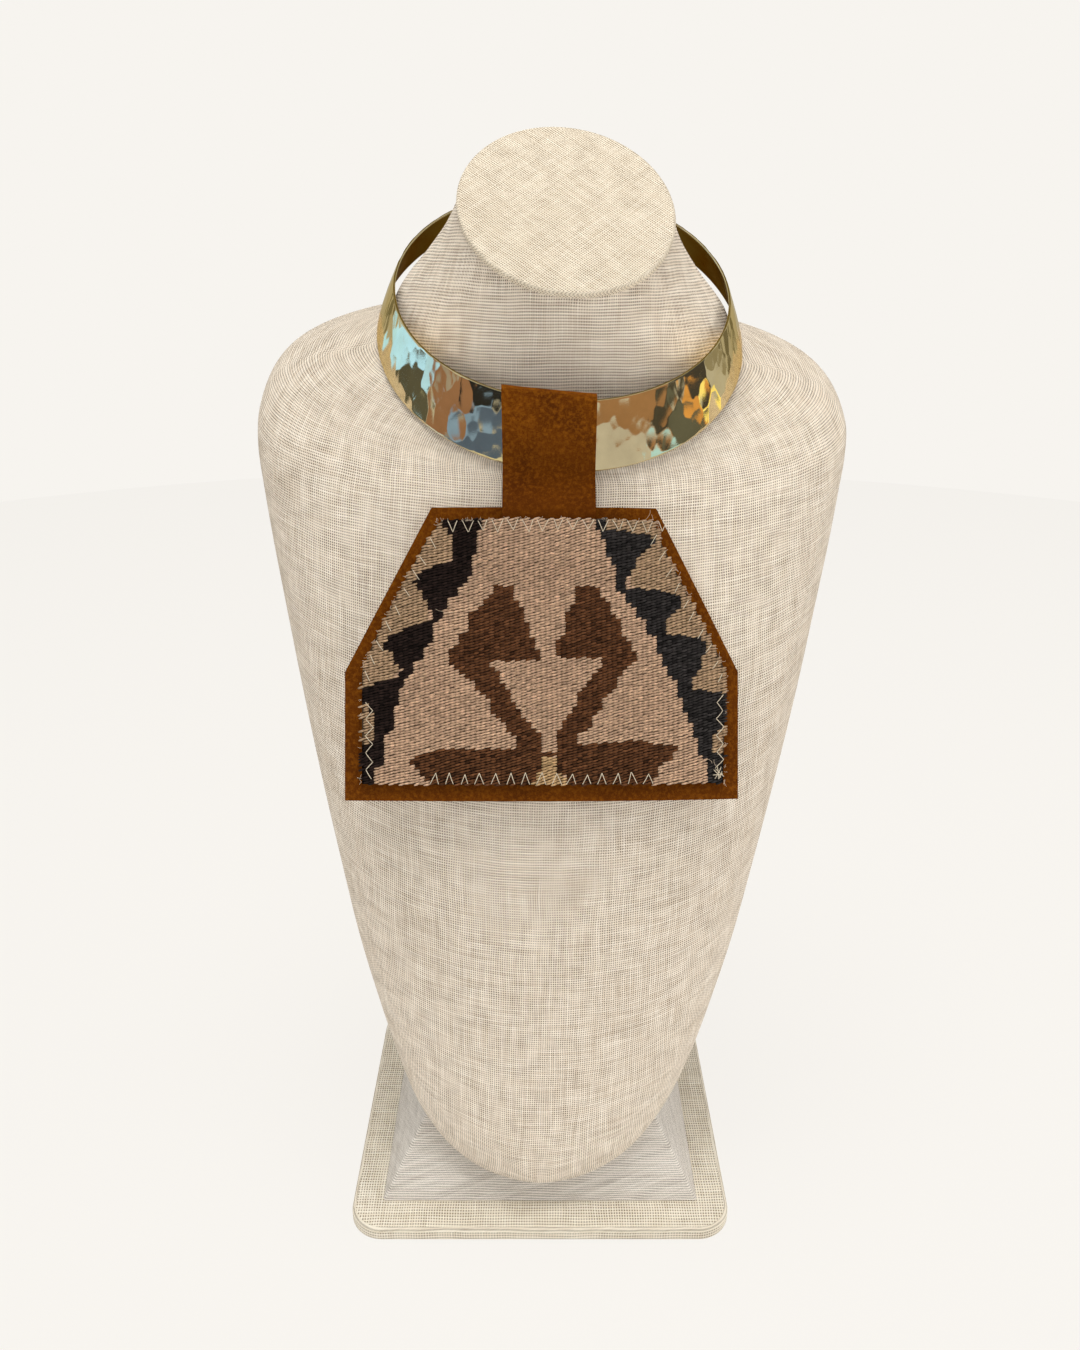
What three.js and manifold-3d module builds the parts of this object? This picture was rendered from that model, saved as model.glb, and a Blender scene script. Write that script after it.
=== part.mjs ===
// Bib necklace on a linen-covered neck bust. Millimetres, +Z up, +X to the viewer's right, -Y towards
// the viewer. The origin is the centre of the base plate's underside.
import * as THREE from 'three';
import { mergeVertices } from 'three/addons/utils/BufferGeometryUtils.js';
import loadManifold from 'manifold-3d';

// Clearance left between pieces that touch.
const touchGap = 0.3;

// Base plate: a covered board with round corners.
const plateWidth = 170;
const plateDepth = 150;
const plateThickness = 6;
const plateCornerRadius = 15;

// Plinth block: a covered block with sloping faces that stands on the plate and enters the bust.
const blockWidth = 142.7;
const blockFrontReach = 59.2;
const blockBackReach = 52;
const blockHeight = 90;
const blockFaceSlope = 0.58;

// Bust: heights are above the plate's underside, reaches are from the plate's centre.
const shoulderWidth = 240;
const shoulderHeight = 340;
const chestReach = 66;
const backReach = 76;
const neckDrift = 9.4;
const neckRoll = THREE.MathUtils.degToRad(4.5);
const bustSides = 48;

// Neck cap: an oval disc on the neck's sloping top.
const capThickness = 2.8;
const capOverhang = 1.1;
const capEdgeRadius = 0.9;

// Collar: a flared band of brass sheet, open at the back, higher at the front than at its ends.
const collarRimRadius = 67.4;
const collarHemRadius = 75.6;
const collarWall = 0.9;
const collarTilt = THREE.MathUtils.degToRad(37);
const collarRoll = THREE.MathUtils.degToRad(2.2);
const collarFrontHeight = 26.4;
const collarBackHeight = 17;
const collarRimSetBack = 4.8;
const collarBackGap = 52;
const collarEndRound = 9;

// Strap: one suede band folded over the collar's front, both ends held in the panel.
const strapWidth = 35;
const strapThickness = 1.3;
const strapLap = 15;
const strapEase = 0.6;
const strapFoldHeight = 1.7;
const strapOffset = -4.9;

// Panel: a suede backing with a kilim piece stitched on it.
const backingWidth = 149.5;
const backingHeight = 110.4;
const backingThickness = 1.6;
const kilimMargin = 6.2;
const kilimTopMargin = 4.8;
const kilimThickness = 2.6;
const panelLean = THREE.MathUtils.degToRad(22);
const panelDrop = 11.6;
const panelOffset = -2.3;
const panelBendLeft = 3;
const panelBendRight = 9;

const linen = { color: 0xded0be, roughness: 0.95, metalness: 0 };
const brass = { color: 0xc9a95f, roughness: 0.18, metalness: 1 };
const suede = { color: 0x7e4612, roughness: 0.9, metalness: 0 };
const wool = { color: 0xb2927a, roughness: 0.95, metalness: 0 };

// Makes an array of objects from a short table with named columns.
function table(columns, rows) {
  return rows.map((row) => Object.fromEntries(columns.map((name, i) => [name, row[i]])));
}

// Joins equal rings of points into one closed body. end gives the triangles of its flat ends.
function loft(rings, end = fanEnd) {
  const count = rings[0].length;
  const positions = rings.flat().flatMap((point) => [point.x, point.y, point.z]);
  const faces = [];
  for (let ring = 0; ring + 1 < rings.length; ring += 1) {
    for (let i = 0; i < count; i += 1) {
      const next = (i + 1) % count;
      const low = ring * count;
      const high = low + count;
      faces.push(low + i, low + next, high + next);
      faces.push(low + i, high + next, high + i);
    }
  }
  const lastRing = (rings.length - 1) * count;
  for (const [a, b, c] of end(count)) {
    faces.push(c, b, a);
    faces.push(lastRing + a, lastRing + b, lastRing + c);
  }
  return closedBody(positions, faces);
}

// The end of a round body.
function fanEnd(count) {
  return Array.from({ length: count - 2 }, (_, i) => [0, i + 1, i + 2]);
}

// The end of a sheet, whose ring runs along one face and returns along the other.
function stripEnd(count) {
  const triangles = [];
  for (let i = 0; i + 1 < count / 2; i += 1) {
    const opposite = count - 1 - i;
    triangles.push([i, i + 1, opposite - 1]);
    triangles.push([i, opposite - 1, opposite]);
  }
  return triangles;
}

// A geometry with its faces pointing out, whichever way its rings ran.
function closedBody(positions, faces) {
  const corner = (i) => new THREE.Vector3().fromArray(positions, 3 * i);
  let volume = 0;
  for (let i = 0; i < faces.length; i += 3) {
    const [a, b, c] = faces.slice(i, i + 3).map(corner);
    volume += a.dot(b.cross(c));
  }
  const geometry = new THREE.BufferGeometry();
  geometry.setAttribute('position', new THREE.Float32BufferAttribute(positions, 3));
  geometry.setIndex(volume < 0 ? faces.toReversed() : faces);
  return geometry;
}

// A sheet with a wall. point(u, v, side) gives its front face at side 0 and its back at side 1, where u
// and v run from 0 to 1.
function sheet(point, columns, rows) {
  const rings = columns.map((u) => {
    const face = rows.map((v) => point(u, v, 0));
    const behind = rows.map((v) => point(u, v, 1));
    return [...face, ...behind.toReversed()];
  });
  return loft(rings, stripEnd);
}

function evenSteps(count) {
  return Array.from({ length: count + 1 }, (_, i) => i / count);
}

function smoothStep(value) {
  return THREE.MathUtils.smoothstep(value, 0, 1);
}

// Reads a table column at a place between its rows.
function between(rows, key, place, column) {
  const next = rows.findIndex((row) => row[key] >= place);
  if (next === 0) return rows[0][column];
  if (next < 0) return rows[rows.length - 1][column];
  const low = rows[next - 1];
  const high = rows[next];
  return THREE.MathUtils.mapLinear(place, low[key], high[key], low[column], high[column]);
}

function finish(name, geometry, look) {
  geometry.computeVertexNormals();
  const mesh = new THREE.Mesh(geometry, new THREE.MeshStandardMaterial(look));
  mesh.name = name;
  return mesh;
}

// The bust's sections from the tip up to the neck's cut. Heights are shares of shoulderHeight, front and
// back reaches shares of chestReach and backReach, widths shares of shoulderWidth. widest is the share of the
// way from front to back where the section is widest, round and square say how full its front and back are,
// drift and roll are shares of neckDrift and neckRoll.
const bustSections = table(
  ['frontUp', 'front', 'backUp', 'back', 'width', 'widest', 'round', 'square', 'drift', 'roll'],
  [
    [0.0603, 0.945, 0.0603, -0.74, 0.06, 0.5, 2.1, 2.2, 0.05, 0],
    [0.0647, 0.965, 0.0647, -0.67, 0.142, 0.5, 2.1, 2.3, 0.05, 0],
    [0.0765, 0.98, 0.0765, -0.6, 0.238, 0.5, 2.1, 2.4, 0.05, 0],
    [0.0971, 0.988, 0.0971, -0.51, 0.33, 0.5, 2.1, 2.5, 0.06, 0],
    [0.1265, 0.994, 0.1265, -0.42, 0.405, 0.5, 2.1, 2.6, 0.08, 0],
    [0.1706, 1, 0.1706, -0.31, 0.48, 0.5, 2.1, 2.7, 0.12, 0],
    [0.2324, 1, 0.2324, -0.17, 0.55, 0.5, 2.1, 2.8, 0.2, 0],
    [0.3059, 1, 0.3059, -0.02, 0.615, 0.5, 2.1, 2.9, 0.24, 0],
    [0.3941, 1, 0.3971, 0.11, 0.68, 0.5, 2.1, 3, 0.28, 0],
    [0.5, 0.993, 0.5088, 0.265, 0.742, 0.5, 2.1, 3, 0.33, 0],
    [0.6029, 0.955, 0.6235, 0.41, 0.802, 0.5, 2.1, 3, 0.38, 0],
    [0.6941, 0.865, 0.7353, 0.55, 0.858, 0.5, 2.1, 3, 0.43, 0],
    [0.7706, 0.742, 0.8382, 0.69, 0.908, 0.5, 2.1, 3, 0.46, 0],
    [0.8353, 0.606, 0.9294, 0.81, 0.953, 0.5, 2.1, 3, 0.49, 0],
    [0.8824, 0.485, 1.0029, 0.9, 0.985, 0.5, 2.1, 2.9, 0.5, 0.1],
    [0.9147, 0.394, 1.0588, 0.96, 1.005, 0.5, 2.1, 2.8, 0.52, 0.2],
    [0.9382, 0.326, 1.1, 0.993, 1.003, 0.52, 2.1, 2.7, 0.58, 0.3],
    [0.9559, 0.273, 1.13, 1, 0.95, 0.55, 2, 2.6, 0.58, 0.38],
    [0.9662, 0.25, 1.143, 0.98, 0.838, 0.58, 1.9, 2.5, 0.5, 0.42],
    [0.972, 0.24, 1.145, 0.94, 0.715, 0.61, 1.8, 2.4, 0.5, 0.46],
    [0.9775, 0.225, 1.146, 0.895, 0.642, 0.63, 1.75, 2.3, 0.62, 0.5],
    [0.986, 0.199, 1.151, 0.855, 0.607, 0.64, 1.75, 2.2, 0.76, 0.6],
    [1.005, 0.166, 1.17, 0.825, 0.59, 0.63, 1.8, 2.1, 0.88, 0.68],
    [1.038, 0.152, 1.2, 0.795, 0.56, 0.6, 1.9, 2, 0.95, 0.7],
    [1.0573, 0.155, 1.219, 0.778, 0.524, 0.58, 1.95, 2, 0.94, 0.75],
    [1.0765, 0.16, 1.238, 0.76, 0.479, 0.56, 2, 2, 0.95, 0.8],
    [1.1147, 0.193, 1.2794, 0.715, 0.398, 0.52, 2, 2, 1, 0.9],
    [1.1565, 0.239, 1.325, 0.664, 0.337, 0.5, 2, 2, 1.04, 1],
  ],
);

function signedPower(value, roundness) {
  return Math.sign(value) * Math.abs(value) ** (2 / roundness);
}

// One section of the bust as its centre, its two directions and its half sizes.
function bustSection(row) {
  const front = new THREE.Vector3(0, -row.front * chestReach, row.frontUp * shoulderHeight);
  const back = new THREE.Vector3(0, row.back * backReach, row.backUp * shoulderHeight);
  const roll = row.roll * neckRoll;
  const along = back.clone().sub(front);
  return {
    centre: front.clone().lerp(back, row.widest).setX(row.drift * neckDrift),
    across: new THREE.Vector3(Math.cos(roll), 0, -Math.sin(roll)),
    along: along.clone().normalize(),
    half: (row.width * shoulderWidth) / 2,
    frontHalf: along.length() * row.widest,
    backHalf: along.length() * (1 - row.widest),
    round: row.round,
    square: row.square,
  };
}

function sectionRing(section) {
  return evenSteps(bustSides).slice(0, -1).map((turn) => {
    const angle = turn * 2 * Math.PI;
    const sine = Math.sin(angle);
    const roundness = sine < 0 ? section.round : section.square;
    const depth = sine < 0 ? section.frontHalf : section.backHalf;
    return section.centre
      .clone()
      .addScaledVector(section.across, section.half * signedPower(Math.cos(angle), roundness))
      .addScaledVector(section.along, depth * signedPower(sine, roundness));
  });
}

// Base plate.
function platePlan() {
  const x = plateWidth / 2 - plateCornerRadius;
  const y = plateDepth / 2 - plateCornerRadius;
  const plan = new THREE.Shape();
  plan.absarc(x, y, plateCornerRadius, 0, Math.PI / 2);
  plan.absarc(-x, y, plateCornerRadius, Math.PI / 2, Math.PI);
  plan.absarc(-x, -y, plateCornerRadius, Math.PI, 1.5 * Math.PI);
  plan.absarc(x, -y, plateCornerRadius, 1.5 * Math.PI, 2 * Math.PI);
  return plan;
}

const plateGeometry = new THREE.ExtrudeGeometry(platePlan(), {
  depth: plateThickness,
  bevelEnabled: false,
  curveSegments: 8,
});

// Plinth block: its four faces slope in as they rise. grow makes the larger form that the bust is cut by.
function blockBody(grow) {
  const level = (height) => {
    const inset = blockFaceSlope * (height - plateThickness - touchGap);
    const x = blockWidth / 2 - inset + grow;
    const front = -blockFrontReach + inset - grow;
    const back = blockBackReach - inset + grow;
    const z = height + (height > plateThickness + touchGap ? grow : -grow);
    return [
      new THREE.Vector3(-x, front, z),
      new THREE.Vector3(x, front, z),
      new THREE.Vector3(x, back, z),
      new THREE.Vector3(-x, back, z),
    ];
  };
  const foot = plateThickness + touchGap;
  return loft([level(foot), level(foot + blockHeight)]);
}

const wasm = await loadManifold();
wasm.setup();

function solid(geometry) {
  const merged = geometry.clone();
  merged.deleteAttribute('normal');
  merged.deleteAttribute('uv');
  const clean = mergeVertices(merged, 1e-4);
  return new wasm.Manifold(new wasm.Mesh({
    numProp: 3,
    vertProperties: new Float32Array(clean.attributes.position.array),
    triVerts: new Uint32Array(clean.index.array),
  }));
}

function solidGeometry(body) {
  const mesh = body.getMesh();
  const geometry = new THREE.BufferGeometry();
  geometry.setAttribute('position', new THREE.Float32BufferAttribute(mesh.vertProperties, 3));
  geometry.setIndex(Array.from(mesh.triVerts));
  return geometry;
}

const bustWhole = loft(bustSections.map((row) => sectionRing(bustSection(row))));
const bustGeometry = solidGeometry(solid(bustWhole).subtract(solid(blockBody(touchGap))));

// Neck cap: lies on the neck's top section, a little larger, with a small round on both edges.
const neckTop = bustSection(bustSections[bustSections.length - 1]);
const neckNormal = new THREE.Vector3().crossVectors(neckTop.across, neckTop.along).normalize();

function capRing(inset, rise) {
  const section = {
    ...neckTop,
    centre: neckTop.centre.clone().addScaledVector(neckNormal, touchGap + rise),
    half: neckTop.half + capOverhang - inset,
    frontHalf: neckTop.frontHalf + capOverhang - inset,
    backHalf: neckTop.backHalf + capOverhang - inset,
  };
  return sectionRing(section);
}

const capGeometry = loft([
  capRing(capEdgeRadius, 0),
  capRing(capEdgeRadius * 0.3, capEdgeRadius * 0.3),
  capRing(0, capEdgeRadius),
  capRing(0, capThickness - capEdgeRadius),
  capRing(capEdgeRadius * 0.3, capThickness - capEdgeRadius * 0.3),
  capRing(capEdgeRadius, capThickness),
]);

// How far a body can move one way before it meets the bust, measured from its own corners.
const bustMesh = finish('bust_form', bustGeometry, linen);

function wayTo(geometry, direction, start) {
  const corners = geometry.attributes.position;
  const caster = new THREE.Raycaster();
  let way = Infinity;
  for (let i = 0; i < corners.count; i += 1) {
    const corner = new THREE.Vector3().fromBufferAttribute(corners, i).addScaledVector(direction, -start);
    caster.set(corner, direction);
    const [hit] = caster.intersectObject(bustMesh);
    if (hit) way = Math.min(way, hit.distance - start);
  }
  return way;
}

// Collar: its rim and hem are two circles on planes that lean forward and roll a little to the right.
const hemPlane = {
  across: new THREE.Vector3(Math.cos(collarRoll), 0, -Math.sin(collarRoll)),
  along: new THREE.Vector3(0, Math.cos(collarTilt), Math.sin(collarTilt)),
};
const rimTilt = collarTilt - Math.asin((collarFrontHeight - collarBackHeight) / (collarRimRadius + collarHemRadius));
const rimPlane = {
  across: hemPlane.across,
  along: new THREE.Vector3(0, Math.cos(rimTilt), Math.sin(rimTilt)),
};
const hemUp = new THREE.Vector3().crossVectors(hemPlane.across, hemPlane.along).normalize();

// The middle of the hem's circle before the collar is seated, as shares of the bust's sizes.
const neckFoot = { drift: 0.88, back: 0.56, up: 1.11 };
const hemCentre = new THREE.Vector3(
  neckFoot.drift * neckDrift,
  neckFoot.back * backReach,
  neckFoot.up * shoulderHeight,
);

function rimCentre() {
  const flare = collarHemRadius - collarRimRadius;
  const meanHeight = (collarFrontHeight + collarBackHeight) / 2;
  const rise = Math.sqrt(meanHeight ** 2 - flare ** 2);
  return hemCentre.clone().addScaledVector(hemUp, rise).addScaledVector(hemPlane.along, collarRimSetBack);
}

function circlePoint(centre, plane, radius, turn) {
  return centre
    .clone()
    .addScaledVector(plane.across, radius * Math.sin(turn))
    .addScaledVector(plane.along, -radius * Math.cos(turn));
}

// The band at one turn from its front: its hem, its rim and the way out of its face.
function bandAt(hemTurn, rimTurn) {
  const hem = circlePoint(hemCentre, hemPlane, collarHemRadius, hemTurn);
  const rim = circlePoint(rimCentre(), rimPlane, collarRimRadius, rimTurn);
  const tangent = new THREE.Vector3()
    .addScaledVector(hemPlane.across, Math.cos(hemTurn))
    .addScaledVector(hemPlane.along, Math.sin(hemTurn));
  const out = new THREE.Vector3().crossVectors(tangent, rim.clone().sub(hem)).normalize();
  return { hem, rim, out };
}

const collarLevels = evenSteps(4);
const collarSpans = 56;
const collarEndSteps = 4;

function collarBody() {
  const halfTurn = Math.PI - collarBackGap / 2 / collarRimRadius;
  const endTurn = collarEndRound / collarHemRadius;
  const ends = evenSteps(collarEndSteps).slice(0, -1).map((share) => endTurn * share ** 2);
  const middle = evenSteps(collarSpans).map((share) => THREE.MathUtils.lerp(endTurn, 2 * halfTurn - endTurn, share));
  const turns = [...ends, ...middle, ...ends.map((turn) => 2 * halfTurn - turn).toReversed()];
  const rings = turns.map((fromEnd) => {
    const turn = fromEnd - halfTurn;
    const { hem, rim, out } = bandAt(turn, turn);
    const nearEnd = Math.min(fromEnd, 2 * halfTurn - fromEnd, endTurn) / endTurn;
    const height = Math.max(Math.sqrt(1 - (1 - nearEnd) ** 2), 0.3);
    const face = collarLevels.map((level) => hem.clone().lerp(rim, 0.5 + (level - 0.5) * height));
    const inside = face.map((point) => point.clone().addScaledVector(out, -collarWall));
    return [...face, ...inside.toReversed()];
  });
  return loft(rings, stripEnd);
}

// The hem's front stands clear of the chest by the strap's inner leg, and the band rests on the bust.
const down = new THREE.Vector3(0, 0, -1);
const backwards = new THREE.Vector3(0, 1, 0);
const seatGap = touchGap + 0.2;
const startAbove = collarBackHeight * 0.7;

function chestReachAt(x, z) {
  const caster = new THREE.Raycaster(new THREE.Vector3(x, -2 * chestReach, z), backwards);
  return caster.intersectObject(bustMesh)[0].point.y;
}

for (let pass = 0; pass < 3; pass += 1) {
  hemCentre.z -= wayTo(collarBody(), down, startAbove) - seatGap;
  const { hem } = bandAt(0, 0);
  const strapRoom = collarWall + strapThickness + strapEase + 2 * touchGap;
  hemCentre.y += chestReachAt(hem.x, hem.z) - strapRoom - hem.y;
}

// Panel: its frame starts at the middle of the backing's top edge, on its back face.
const panelUp = new THREE.Vector3(0, Math.sin(panelLean), Math.cos(panelLean));
const panelOut = new THREE.Vector3(0, -Math.cos(panelLean), Math.sin(panelLean));
const strapX = hemCentre.x + strapOffset;
const panelTop = new THREE.Vector3(
  strapX + panelOffset,
  -2 * chestReach,
  bandAt(0, 0).hem.z - panelDrop,
);

// Half widths of the backing by height, as shares of half its width.
const backingOutline = table(
  ['up', 'left', 'right'],
  [
    [0, 1, 1],
    [0.44, 1, 1],
    [1, 0.56, 0.572],
  ],
);

// How far the kilim stops short of the backing's side edges, as shares of kilimMargin.
const kilimInset = table(
  ['up', 'left', 'right'],
  [
    [0, 1.03, 0.97],
    [0.44, 1.03, 0.75],
    [0.52, 0.8, 0.68],
    [0.7, 0.7, 0.72],
    [0.88, 0.74, 0.76],
    [1, 1.15, 0.3],
  ],
);

function panelPoint(x, up, lift) {
  const half = backingWidth / 2;
  const bend = (x < 0 ? panelBendLeft : panelBendRight) * (x / half) ** 2;
  return panelTop
    .clone()
    .add(new THREE.Vector3(x, 0, 0))
    .addScaledVector(panelUp, up - backingHeight)
    .addScaledVector(panelOut, lift - bend);
}

function outlineX(up, u, insets) {
  const share = up / backingHeight;
  const half = backingWidth / 2;
  const inset = (side) => (insets ? kilimMargin * between(insets, 'up', share, side) : 0);
  const left = -half * between(backingOutline, 'up', share, 'left') + inset('left');
  const right = half * between(backingOutline, 'up', share, 'right') - inset('right');
  return THREE.MathUtils.lerp(left, right, u);
}

const backingRows = [0, 0.22, 0.44, 0.58, 0.72, 0.86, 1];
const backingColumns = evenSteps(12);

function backingBody() {
  return sheet(
    (u, v, side) => panelPoint(outlineX(v * backingHeight, u), v * backingHeight, side ? 0 : backingThickness),
    backingColumns,
    backingRows,
  );
}

panelTop.y += wayTo(backingBody(), backwards, 0) - touchGap;

// Kilim: lies on the backing and rises over the strap's two ends.
const strapStack = 2 * (strapThickness + touchGap);
const riseWay = 14;
const riseMargin = 3;
const kilimColumns = evenSteps(26);
const kilimRows = evenSteps(18);

function kilimLift(x, up) {
  const aside = Math.abs(x + panelOffset) - strapWidth / 2 - riseMargin;
  const below = backingHeight - up - strapLap - riseMargin;
  const near = smoothStep(1 - aside / riseWay) * smoothStep(1 - below / riseWay);
  return backingThickness + touchGap + strapStack * near;
}

const kilimBody = sheet(
  (u, v, side) => {
    const up = THREE.MathUtils.lerp(kilimMargin, backingHeight - kilimTopMargin, v);
    const x = outlineX(up, u, kilimInset);
    return panelPoint(x, up, kilimLift(x, up) + (side ? 0 : kilimThickness));
  },
  kilimColumns,
  kilimRows,
);

// Strap: its inner leg follows the band, and its fold and outer leg run straight across in front of it.
const strapSections = 9;
const foldSteps = 8;

function bandAcross(x) {
  const hemTurn = Math.asin((x - hemCentre.x) / collarHemRadius);
  const rimTurn = Math.asin((x - rimCentre().x) / collarRimRadius);
  return { ...bandAt(hemTurn, rimTurn), rimTurn };
}

const strapLeftRim = bandAcross(strapX - strapWidth / 2).rim;
const strapRightRim = bandAcross(strapX + strapWidth / 2).rim;

// From the rim at x to the straight line between the rim's points at the strap's two edges.
function toStraight(x) {
  const share = (x - strapX) / strapWidth + 0.5;
  return strapLeftRim.clone().lerp(strapRightRim, share).sub(bandAcross(x).rim).setX(0);
}

const rimBow = Math.max(...evenSteps(strapSections - 1).map((share) => {
  return toStraight(strapX + (share - 0.5) * strapWidth).y;
}));

function strapCentreline(x) {
  const { hem, rim, rimTurn } = bandAcross(x);
  const rise = rim.clone().sub(hem).setX(0).normalize();
  const out = new THREE.Vector3(0, -rise.z, rise.y);
  const flat = toStraight(x).add(new THREE.Vector3(0, -rimBow, 0));
  const slant = 1 / Math.cos(rimTurn);
  const layer = touchGap + strapThickness;
  const outside = (strapEase + strapThickness / 2) * slant;
  const inside = -collarWall * slant - outside;
  const inPanel = (up, stack) => panelPoint(x - panelTop.x, up, backingThickness + touchGap + stack);
  const outerRim = rim.clone().add(flat).addScaledVector(out, outside);
  const outerHem = hem.clone().setY(hem.y + flat.y).addScaledVector(out, outside);
  const innerRim = rim.clone().setZ(outerRim.z).addScaledVector(out, inside);
  const foldCentre = outerRim.clone().lerp(innerRim, 0.5);
  const foldReach = outerRim.clone().sub(foldCentre);
  const foldHeight = Math.min(foldReach.length(), strapFoldHeight);
  const fold = evenSteps(foldSteps).map((share) => foldCentre
    .clone()
    .addScaledVector(foldReach, Math.cos(share * Math.PI))
    .addScaledVector(rise, foldHeight * Math.sin(share * Math.PI)));
  const path = [
    inPanel(backingHeight - strapLap, layer + strapThickness / 2),
    inPanel(backingHeight - strapLap / 2, layer + strapThickness / 2),
    inPanel(backingHeight + touchGap, layer + strapThickness / 2),
    outerHem,
    outerHem.clone().lerp(outerRim, 0.5),
    ...fold,
    hem.clone().lerp(rim, 0.5).addScaledVector(out, inside),
    hem.clone().addScaledVector(out, inside),
    inPanel(backingHeight + touchGap, strapThickness / 2),
    inPanel(backingHeight - strapLap / 2, strapThickness / 2),
    inPanel(backingHeight - strapLap, strapThickness / 2),
  ];
  return path.map((point) => point.setX(x));
}

// The two faces of a strip along a path in a plane of constant x.
function stripRing(path, thickness) {
  const offset = (side) => path.map((point, i) => {
    const before = path[Math.max(i - 1, 0)];
    const after = path[Math.min(i + 1, path.length - 1)];
    const first = point.clone().sub(before).normalize();
    const second = after.clone().sub(point).normalize();
    const way = first.clone().add(second).normalize();
    const turn = i === 0 || i === path.length - 1 ? 1 : Math.max(way.dot(first), 0.5);
    const normal = new THREE.Vector3(0, -way.z, way.y);
    return point.clone().addScaledVector(normal, (side * thickness) / 2 / turn);
  });
  return [...offset(1), ...offset(-1).toReversed()];
}

const strapBody = loft(
  evenSteps(strapSections - 1).map((share) => {
    const x = strapX + (share - 0.5) * strapWidth;
    return stripRing(strapCentreline(x), strapThickness);
  }),
  stripEnd,
);

const group = new THREE.Group();
group.add(finish('base_plate', plateGeometry, linen));
group.add(finish('plinth_block', blockBody(0), linen));
group.add(bustMesh);
group.add(finish('neck_cap', capGeometry, linen));
group.add(finish('collar', collarBody(), brass));
group.add(finish('strap_loop', strapBody, suede));
group.add(finish('backing', backingBody(), suede));
group.add(finish('kilim', kilimBody, wool));

export default group;
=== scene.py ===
"""The looks of a bib necklace on its linen-covered neck bust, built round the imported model."""
import math

import bmesh
import bpy
import numpy as np
from mathutils import Matrix


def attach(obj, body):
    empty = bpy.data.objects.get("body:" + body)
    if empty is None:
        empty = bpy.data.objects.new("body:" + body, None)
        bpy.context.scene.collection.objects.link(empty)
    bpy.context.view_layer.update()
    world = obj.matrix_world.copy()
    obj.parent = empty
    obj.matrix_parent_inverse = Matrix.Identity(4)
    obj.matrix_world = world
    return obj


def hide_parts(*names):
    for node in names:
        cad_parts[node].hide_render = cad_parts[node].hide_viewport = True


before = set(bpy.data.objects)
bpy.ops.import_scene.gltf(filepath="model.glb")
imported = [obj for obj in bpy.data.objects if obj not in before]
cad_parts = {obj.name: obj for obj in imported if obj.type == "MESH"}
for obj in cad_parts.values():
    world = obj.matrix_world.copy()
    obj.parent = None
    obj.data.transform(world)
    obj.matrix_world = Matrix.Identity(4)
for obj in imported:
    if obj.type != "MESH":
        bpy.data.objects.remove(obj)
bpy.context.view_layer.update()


# Base plate: a board with round corners, covered in a coarse natural linen that is pulled over its edges
# and glued underneath, so that the edges are soft and the weave runs over them.
MM = 0.001
PLATE_WIDTH = 170
PLATE_DEPTH = 150
PLATE_THICKNESS = 6
PLATE_CORNER = 15
PLATE_TOP_EDGE = 1.6
PLATE_FOOT_EDGE = 0.8
# The linen's thread width, its change and its rise are shares of the pitch. The slub's step is taken at every
# thread that is crossed. Wander and bump are in millimetres.
LINEN_WIDTH = 0.68
LINEN_THICK_AND_THIN = 0.2
LINEN_RISE = 0.35
LINEN_SLUB_STEP = 0.055
LINEN_WANDER = 1.6
LINEN_BUMP = 0.22
CORNER_STEPS = 17
EDGE_STEPS = 7
SHARP_EDGE = math.radians(40)


def give(tree, node, inputs):
    """Sets a node's inputs, each to a value or to another node's output."""
    for socket, value in inputs.items():
        if isinstance(value, bpy.types.NodeSocket):
            tree.links.new(value, node.inputs[socket])
        else:
            node.inputs[socket].default_value = value


def add(tree, kind, inputs=None, **settings):
    """A new node with its settings and inputs."""
    node = tree.nodes.new(kind)
    for setting, value in settings.items():
        setattr(node, setting, value)
    give(tree, node, inputs or {})
    return node


def reckon(tree, operation, *values):
    """The output of a Math node."""
    return add(tree, "ShaderNodeMath", dict(enumerate(values)), operation=operation).outputs[0]


def blend_colours(tree, share, first, second, how="MIX"):
    """Two colours mixed by a share."""
    node = add(tree, "ShaderNodeMix", {"Factor": share}, data_type="RGBA", blend_type=how)
    ends = {6: first, 7: second}
    give(tree, node, {socket: (*end, 1) if isinstance(end, tuple) else end for socket, end in ends.items()})
    return node.outputs[2]


def spread(tree, value, low, high, to_low=0.0, to_high=1.0):
    """A value moved from one range to another and held inside it."""
    inputs = {"Value": value, "From Min": low, "From Max": high, "To Min": to_low, "To Max": to_high}
    return add(tree, "ShaderNodeMapRange", inputs).outputs[0]


def speckle(tree, where, scale, detail=2.0, roughness=0.5):
    """Noise from 0 to 1, with its scale in features to the metre."""
    inputs = {"Vector": where, "Scale": scale, "Detail": detail, "Roughness": roughness}
    return add(tree, "ShaderNodeTexNoise", inputs).outputs["Fac"]


def bumps(tree, height, strength, depth):
    """A height turned into bump, its depth in millimetres."""
    inputs = {"Height": height, "Strength": strength, "Distance": depth * MM}
    return add(tree, "ShaderNodeBump", inputs).outputs[0]


def new_material(name):
    """An empty material as (material, its tree, its surface shader)."""
    material = bpy.data.materials.new(name)
    material.use_nodes = True
    tree = material.node_tree
    shader = tree.nodes["Principled BSDF"]
    return material, tree, shader


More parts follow.
